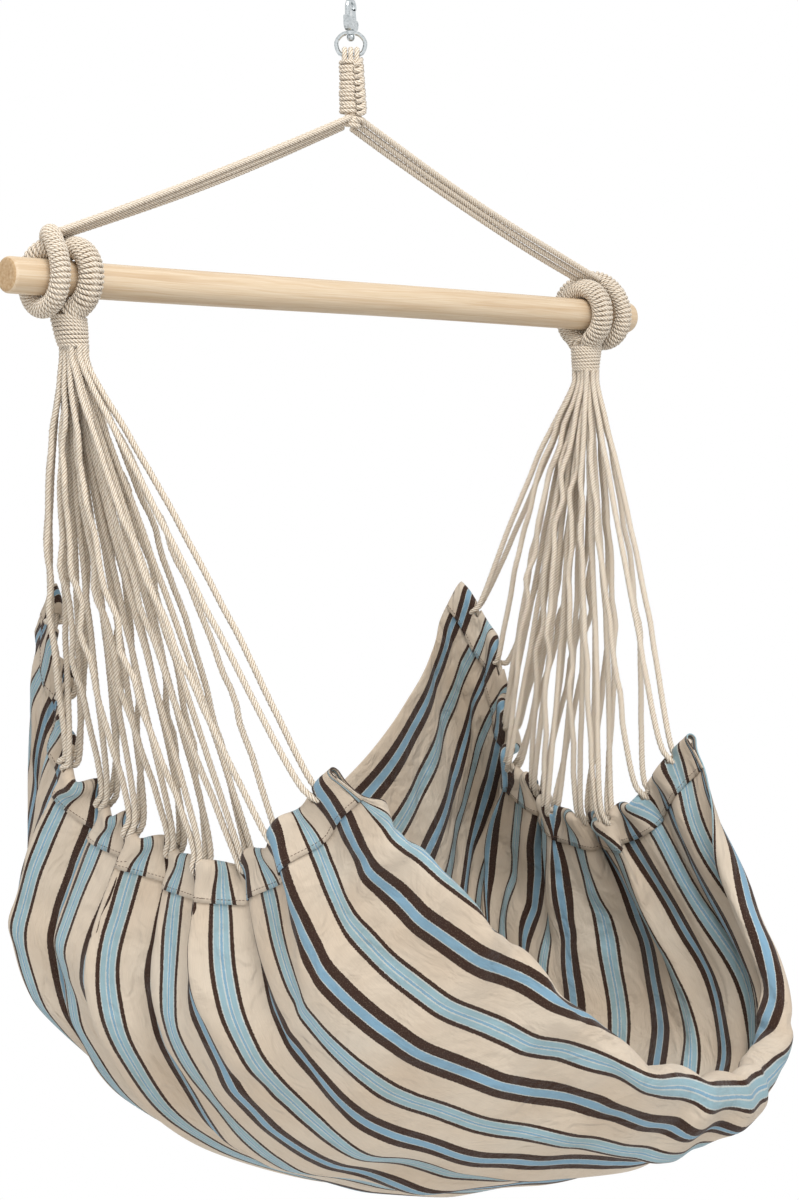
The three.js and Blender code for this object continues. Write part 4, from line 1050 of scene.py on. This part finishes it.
def creases(run, across):
    """Soft fold lines of used cloth, in millimetres off its surface, for places in millimetres."""
    pick = np.random.default_rng(31)
    total = np.zeros(np.broadcast(run, across).shape)
    for k in range(16):
        heading = pick.uniform(-1.2, 1.2) if k % 3 else pick.uniform(1.2, 1.9)
        length = pick.uniform(95, 260)
        phase, other = pick.uniform(0, 6.28, 2)
        drift = pick.uniform(120, 420, 2)
        place = (run * math.sin(heading) + across * math.cos(heading)) / length
        place = place + 0.35 * np.sin(run / drift[0] + phase) + 0.3 * np.sin(across / drift[1] + other)
        swell = np.sin(run / pick.uniform(90, 200) + other)
        here = 0.5 + 0.5 * swell * np.sin(across / pick.uniform(80, 170) + phase)
        ridge = 1 - np.abs(2 * (place - np.floor(place)) - 1)
        total += (ridge**1.6 - 0.38) * here**2 * pick.uniform(3.0, 6.5)
    return total


def seat_grid():
    """The whole cloth as rows of points from the foot of the left hem to the foot of the right one."""
    shares = (np.arange(FAN_LOOPS)[:, None] + np.array(FOLD_COLUMN_SHARES)).ravel() / FAN_LOOPS
    v = np.unique(np.round(np.concatenate([[0.0, 1.0], (shares + 0.5 / FAN_LOOPS) % 1.0]), 6))
    notches = [int(np.argmin(np.abs(v - loop_share(i)))) for i in range(FAN_LOOPS)]
    parts, normals, distances = [], [], []
    for sign in (-1.0, 1.0):
        outs = [out for out, _ in LEG_RISE] + [0.0] + list(SEAT_LEG)
        levels = [level for _, level in LEG_RISE] + [HEM_CREST] + [level for _, level in LEG_RISE[::-1]]
        rows, outward = hem_rows(sign, v, levels)
        around = 2 * math.pi * v * FLAT_WIDTH
        pucker = np.sin(around / 17.0) + 0.6 * np.sin(around / 27.0 + 1)
        near_top = np.exp(-np.maximum(np.array(levels), 0) / 13.0)[:, None]
        shift = np.array(outs)[:, None] * (1 + 0.10 * near_top * pucker) + 0.25 * near_top * pucker
        rows = rows - outward * (shift * sign)[..., None]
        if sign > 0:
            rows, outward, levels = rows[::-1], outward[::-1], levels[::-1]
        parts.append(rows)
        normals.append(outward)
        distances.append(np.array(levels, float))
    left_foot, right_foot = hem_share(-1.0, v, HEM_FOOT), hem_share(1.0, v, HEM_FOOT)
    t = (np.arange(SEAT_ROWS) + 1.0) / (SEAT_ROWS + 1)
    u = left_foot + (right_foot - left_foot) * t[:, None]
    run = FLAT_LENGTH - 4 * HEM_FOOT
    down = HEM_FOOT + np.minimum(t, 1 - t) * run
    seat = folded(u, np.broadcast_to(v, u.shape), np.broadcast_to(down[:, None], u.shape))
    outward = outward_at(u, v)
    calm = smooth_step(down, 50.0, 150.0)[:, None] * np.clip(np.minimum(v * 8 + 0.3, 1), 0, 1)
    crumpled = creases(run * t[:, None], FLAT_WIDTH * (1 - v)[None, :]) * calm
    taut = -11.0 * smooth_step(1 - np.abs(2 * u - 1), 0.25, 0.7)
    for height, at_u, wide_u, at_v, wide_v in TAUT_PLACES:
        taut += height * np.exp(-((u - at_u) / wide_u) ** 2 - ((v - at_v) / wide_v) ** 2)
    seat = seat + outward * (crumpled + taut)[..., None]
    rows = np.concatenate([parts[0], seat, parts[1]])
    outward = np.concatenate([normals[0], outward, normals[1]])
    from_hem = np.concatenate([distances[0], down, distances[1]])
    run_share = np.concatenate([np.zeros(len(levels)), t, np.ones(len(levels))])
    grid = rolled_edge(rows, outward, from_hem, v, run_share)
    across = np.concatenate([(1 - v) * FLAT_WIDTH,
                             -LIP_ROLL * (np.arange(LIP_ROLL_STEPS) + 1.0) / LIP_ROLL_STEPS]) * MM
    spacing = np.linalg.norm(np.diff(rows, axis=0), axis=2).mean(axis=1)
    along = np.concatenate([[0], np.cumsum(spacing)]) * MM
    hem_count = 2 * len(LEG_RISE) + 1
    return grid, from_hem, along, across, hem_count, notches


def seat_faces(grid, hem_count, notches):
    """Faces between the rows and columns, with the hems left open at each rope."""
    rows, columns = grid.shape[:2]
    open_rows = {k for k in range(3, hem_count - 4)}
    open_rows |= {rows - 2 - k for k in open_rows}
    beside = {j + k for j in notches for k in (-1, 0)}
    faces = []
    for i in range(rows - 1):
        for j in range(columns - 1):
            if j in beside and i in open_rows:
                continue
            a = i * columns + j
            faces.append((a, a + 1, a + columns + 1, a + columns))
    return faces


def hem_ropes():
    for name, sign in SIDES:
        cord = Batch()
        rows, _ = hem_rows(sign, np.linspace(0, 1, 8 * FAN_LOOPS + 1), [HEM_CORD_DROP])
        twisted(cord, route(rows[0], 4), HEM_CORD, 23.0)
        cord.piece(f"hem_rope_{name}", COTTON, "chair", [f"hem_cord_{name}"])


SETTLE_FRAMES = 26
CANVAS_SETTINGS = {
    "quality": 6, "mass": 0.25, "tension_stiffness": 18, "compression_stiffness": 18, "shear_stiffness": 7,
    "bending_stiffness": 0.12, "air_damping": 2.0, "pin_stiffness": 1.0, "shrink_min": -0.07,
}


def settle(obj, grid, from_hem, hem_count):
    """The cloth grows a little between its pinned hems and crumples. No gravity pulls it."""
    rows, columns = grid.shape[:2]
    pins = obj.vertex_groups.new(name="held")
    hold = np.clip(0.02 + 0.5 * np.exp(-(from_hem - HEM_FOOT) / 40.0), 0, 1)
    hold[:hem_count] = hold[-hem_count:] = 1.0
    for i in range(rows):
        for j in range(columns):
            edge = 0.10 if j >= columns - LIP_ROLL_STEPS - 2 else 0.0
            pins.add([i * columns + j], float(min(hold[i] + edge, 1.0)), "REPLACE")
    made = obj.modifiers.new("hang", "CLOTH")
    for setting, value in CANVAS_SETTINGS.items():
        setattr(made.settings, setting, value)
    made.settings.vertex_group_mass = "held"
    made.settings.effector_weights.gravity = 0.0
    made.collision_settings.use_collision = False
    made.collision_settings.use_self_collision = False
    made.point_cache.frame_start = 1
    made.point_cache.frame_end = 30
    scene = bpy.context.scene
    for number in range(SETTLE_FRAMES):
        scene.frame_set(number + 1)
    seen = obj.evaluated_get(bpy.context.evaluated_depsgraph_get())
    after = np.empty(len(seen.data.vertices) * 3)
    seen.data.vertices.foreach_get("co", after)
    obj.modifiers.clear()
    scene.frame_set(1)
    after = after.reshape(grid.shape) / MM
    moved = after - grid
    far = np.linalg.norm(moved, axis=-1, keepdims=True)
    moved = moved * CREASE_CAP / (CREASE_CAP + far)
    return grid + moved


def finished(obj, *modifiers):
    """The same piece as a plain mesh, with its modifiers taken in."""
    for kind, values in modifiers:
        added = obj.modifiers.new(kind.lower(), kind)
        for key, value in values.items():
            setattr(added, key, value)
    seen = obj.evaluated_get(bpy.context.evaluated_depsgraph_get())
    mesh = bpy.data.meshes.new_from_object(seen)
    obj.modifiers.clear()
    obj.vertex_groups.clear()
    obj.data = mesh
    return obj


def seat_cloth():
    grid, from_hem, along, across, hem_count, notches = seat_grid()
    faces = seat_faces(grid, hem_count, notches)
    columns = grid.shape[1]
    corners = np.array(faces)
    on_leg = np.zeros(len(grid))
    legs = len(LEG_RISE)
    on_leg[:legs] = np.linspace(1, 0.02, legs)
    on_leg[-legs:] = np.linspace(0.02, 1, legs)
    wander = 0.010 * np.sin(np.arange(columns) * 2 * math.pi / 37 + 0.8) + 0.004
    share = along / along[-1]
    lean = (STRIPE_START + STRIPE_LEAN * smooth_step(share, 0.15, 0.53)
            - STRIPE_RETURN * smooth_step(share, 0.68, 0.9))
    near_lip = np.exp(-np.maximum(across, 0) / STRIPE_LEAN_REACH)
    slant = wander[None, :] * on_leg[:, None] + lean[:, None] * near_lip[None, :]
    rows_of, columns_of = corners // columns, corners % columns
    uv = np.stack([along[rows_of], across[columns_of] + slant[rows_of, columns_of]], axis=-1).reshape(-1, 2)
    seat = piece_of("seat_panel_cloth", grid.reshape(-1, 3), faces, CANVAS, uv)
    hung = settle(seat, grid, from_hem, hem_count)
    seat.data.vertices.foreach_set("co", (hung * MM).ravel())
    seat.data.update()
    finished(seat, ("SUBSURF", {"levels": 1, "render_levels": 1}),
             ("SOLIDIFY", {"thickness": CLOTH_THICKNESS * MM, "offset": 0.0}))
    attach(seat, "chair")
    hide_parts("seat_cloth", "hem_sleeve_left", "hem_sleeve_right")
    return seat


def seam_nodes():
    """A tree that lays short stitches along a line of edges."""
    tree = bpy.data.node_groups.new("seam_stitches", "GeometryNodeTree")
    tree.is_modifier = True

    def socket(name, side, kind):
        tree.interface.new_socket(name=name, in_out=side, socket_type="NodeSocket" + kind)

    socket("Seam line", "INPUT", "Geometry")
    for name in ("Stitch pitch", "Stitch length", "Thread thickness"):
        socket(name, "INPUT", "Float")
    socket("Seed", "INPUT", "Int")
    socket("Thread", "INPUT", "Material")
    socket("Stitches", "OUTPUT", "Geometry")

    def add(kind, inputs, **settings):
        return add_node(tree, kind, inputs, **settings)

    given = tree.nodes.new("NodeGroupInput").outputs
    path = add("GeometryNodeMeshToCurve", {"Mesh": given["Seam line"]})
    spots = add("GeometryNodeResampleCurve", {
        "Curve": path.outputs[0], "Length": given["Stitch pitch"]}, mode="LENGTH")
    heading = add("FunctionNodeAlignRotationToVector", {
        "Vector": tree.nodes.new("GeometryNodeInputTangent").outputs[0]}, axis="Z")
    pull = add("FunctionNodeRandomValue", {2: 0.84, 3: 1.12, "Seed": given["Seed"]}, data_type="FLOAT")
    reach = add("ShaderNodeMath", {0: given["Stitch length"], 1: pull.outputs[1]}, operation="MULTIPLY")
    size = add("ShaderNodeCombineXYZ", {
        "X": given["Thread thickness"], "Y": given["Thread thickness"], "Z": reach.outputs[0]})
    stitch = add("GeometryNodeMeshUVSphere", {"Segments": 6, "Rings": 4, "Radius": 0.5})
    laid = add("GeometryNodeInstanceOnPoints", {
        "Points": spots.outputs[0], "Instance": stitch.outputs["Mesh"], "Rotation": heading.outputs[0],
        "Scale": size.outputs[0]})
    real = add("GeometryNodeRealizeInstances", {"Geometry": laid.outputs[0]})
    soft = add("GeometryNodeSetShadeSmooth", {"Geometry": real.outputs[0]})
    painted = add("GeometryNodeSetMaterial", {"Geometry": soft.outputs[0], "Material": given["Thread"]})
    tree.links.new(painted.outputs[0], tree.nodes.new("NodeGroupOutput").inputs["Stitches"])
    return tree


SEAM_LEVEL = 41.0
SEAM_PLACES = 420
SEAM_FROM = 8.0
SEAM_MOST_STEP = 9.0
THREAD_RAISED = 0.1
STITCHES = {"Stitch pitch": 0.0042, "Stitch length": 0.0032, "Thread thickness": 0.0008, "Seed": 5,
            "Thread": THREAD}


def seam_line(surface, sign, level, towards):
    """Places on the cloth's face along a hem, found from the side that towards points to."""
    v = np.linspace(0.004, 0.996, SEAM_PLACES)
    rows, outward = hem_rows(sign, v, [level])
    facing = outward[0] * -sign * towards
    points, runs = [], []
    for place, way in zip(rows[0], facing):
        start = Vector((place + way * SEAM_FROM) * MM)
        hit, normal, _, _ = surface.ray_cast(start, Vector(-way), 2 * SEAM_FROM * MM)
        if hit is None:
            runs.append(None)
            continue
        runs.append(len(points))
        points.append(np.array(hit) / MM + np.array(normal) * THREAD_RAISED)
    edges = [(a, b) for a, b in zip(runs, runs[1:]) if a is not None and b is not None
             and np.linalg.norm(points[a] - points[b]) < SEAM_MOST_STEP]
    return points, edges


def hem_seams(seat):
    """Running stitches through both faces of each hem, near its foot."""
    surface = BVHTree.FromPolygons([v.co.copy() for v in seat.data.vertices],
                                   [tuple(p.vertices) for p in seat.data.polygons])
    tree = seam_nodes()
    for name, sign in SIDES:
        points, edges = [], []
        for towards in (1.0, -1.0):
            more, joins = seam_line(surface, sign, SEAM_LEVEL, towards)
            edges += [(a + len(points), b + len(points)) for a, b in joins]
            points += more
        mesh = bpy.data.meshes.new(f"hem_seam_{name}")
        mesh.from_pydata([tuple(p * MM) for p in points], edges, [])
        seam = bpy.data.objects.new(f"hem_seam_{name}", mesh)
        bpy.context.scene.collection.objects.link(seam)
        made = seam.modifiers.new("stitches", "NODES")
        made.node_group = tree
        for item in tree.interface.items_tree:
            if item.item_type == "SOCKET" and item.in_out == "INPUT" and item.name in STITCHES:
                made[item.identifier] = STITCHES[item.name]
        finished(seam)
        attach(seam, "chair")


hem_ropes()
hem_seams(seat_cloth())


# Hook, gate, spring, rivet and eye

SPRING_WIRE = 0.7
SPRING_COILS = 4


def gate_coil():
    """The coil under the gate's heel, which the gate presses together as it opens."""
    low, high = (np.array(corner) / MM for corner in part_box("gate_spring"))
    middle = (low + high) / 2
    t = np.linspace(0, 1, 16 * SPRING_COILS + 1)
    a = 2 * math.pi * SPRING_COILS * t
    reach = (high[0] - low[0] - SPRING_WIRE) / 2
    coil = Batch()
    plain_tube(coil, np.stack([
        middle[0] + reach * np.cos(a), middle[1] + reach * np.sin(a),
        low[2] + SPRING_WIRE / 2 + (high[2] - low[2] - SPRING_WIRE) * t], axis=1), SPRING_WIRE, 8)
    spring = coil.piece("gate_coil", ZINC, "hook", ["gate_spring"])
    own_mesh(spring)


gate_coil()
for node in ("snap_hook", "hook_gate", "gate_pin", "swivel_rivet", "swivel_eye"):
    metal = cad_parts[node]
    if metal.material_slots:
        for place in metal.material_slots:
            place.material = ZINC
    else:
        metal.data.materials.append(ZINC)


# Stage and light

FLOOR_RADIUS = 1.7
FLOOR_LEVEL = -1.95
SKY_STRENGTH = 0.78
LIGHT_AIM = (0, -0.1, -0.9)
# Each light's place, the width of its square and its power in watts
LIGHTS = (("key_light", (-1.6, -2.7, 2.3), 2.4, 140.0), ("side_light", (-3.4, -1.6, -0.6), 2.2, 12.0))


def studio_floor():
    mesh = bpy.data.meshes.new("studio_floor")
    angles = np.linspace(0, 2 * math.pi, 64, endpoint=False)
    rim = [(FLOOR_RADIUS * math.cos(a), FLOOR_RADIUS * math.sin(a), FLOOR_LEVEL) for a in angles]
    mesh.from_pydata(rim, [], [list(range(len(rim)))])
    floor = bpy.data.objects.new("studio_floor", mesh)
    bpy.context.scene.collection.objects.link(floor)
    f = Finish("studio_floor_paint")
    f.shader.inputs["Base Color"].default_value = (0.86, 0.86, 0.85, 1)
    mesh.materials.append(f.give(Roughness=0.9))


def studio_sky():
    """White for camera, see-through and glossy rays, and a dimmer sky for all others."""
    world = bpy.data.worlds.new("studio")
    bpy.context.scene.world = world
    world.use_nodes = True
    tree = world.node_tree
    tree.nodes.clear()
    ray = add_node(tree, "ShaderNodeLightPath").outputs
    clear = add_node(tree, "ShaderNodeMath", {0: ray["Is Camera Ray"], 1: ray["Is Transmission Ray"]},
                     operation="MAXIMUM")
    plain = add_node(tree, "ShaderNodeMath", {0: clear.outputs[0], 1: ray["Is Glossy Ray"]},
                     operation="MAXIMUM")
    sky = add_node(tree, "ShaderNodeBackground", {"Color": (0.97, 0.98, 1.0, 1), "Strength": SKY_STRENGTH})
    paper = add_node(tree, "ShaderNodeBackground", {"Color": (1, 1, 1, 1), "Strength": 1.0})
    join = add_node(tree, "ShaderNodeMixShader", {
        0: plain.outputs[0], 1: sky.outputs[0], 2: paper.outputs[0]})
    add_node(tree, "ShaderNodeOutputWorld", {"Surface": join.outputs[0]})


def studio_lights():
    for name, place, size, power in LIGHTS:
        data = bpy.data.lights.new(name, "AREA")
        data.size = size
        data.energy = power
        light = bpy.data.objects.new(name, data)
        light.location = place
        aim = Vector(LIGHT_AIM) - Vector(place)
        light.rotation_euler = aim.to_track_quat("-Z", "Y").to_euler()
        bpy.context.scene.collection.objects.link(light)


studio_floor()
studio_sky()
studio_lights()
bpy.context.scene.view_settings.view_transform = "Standard"
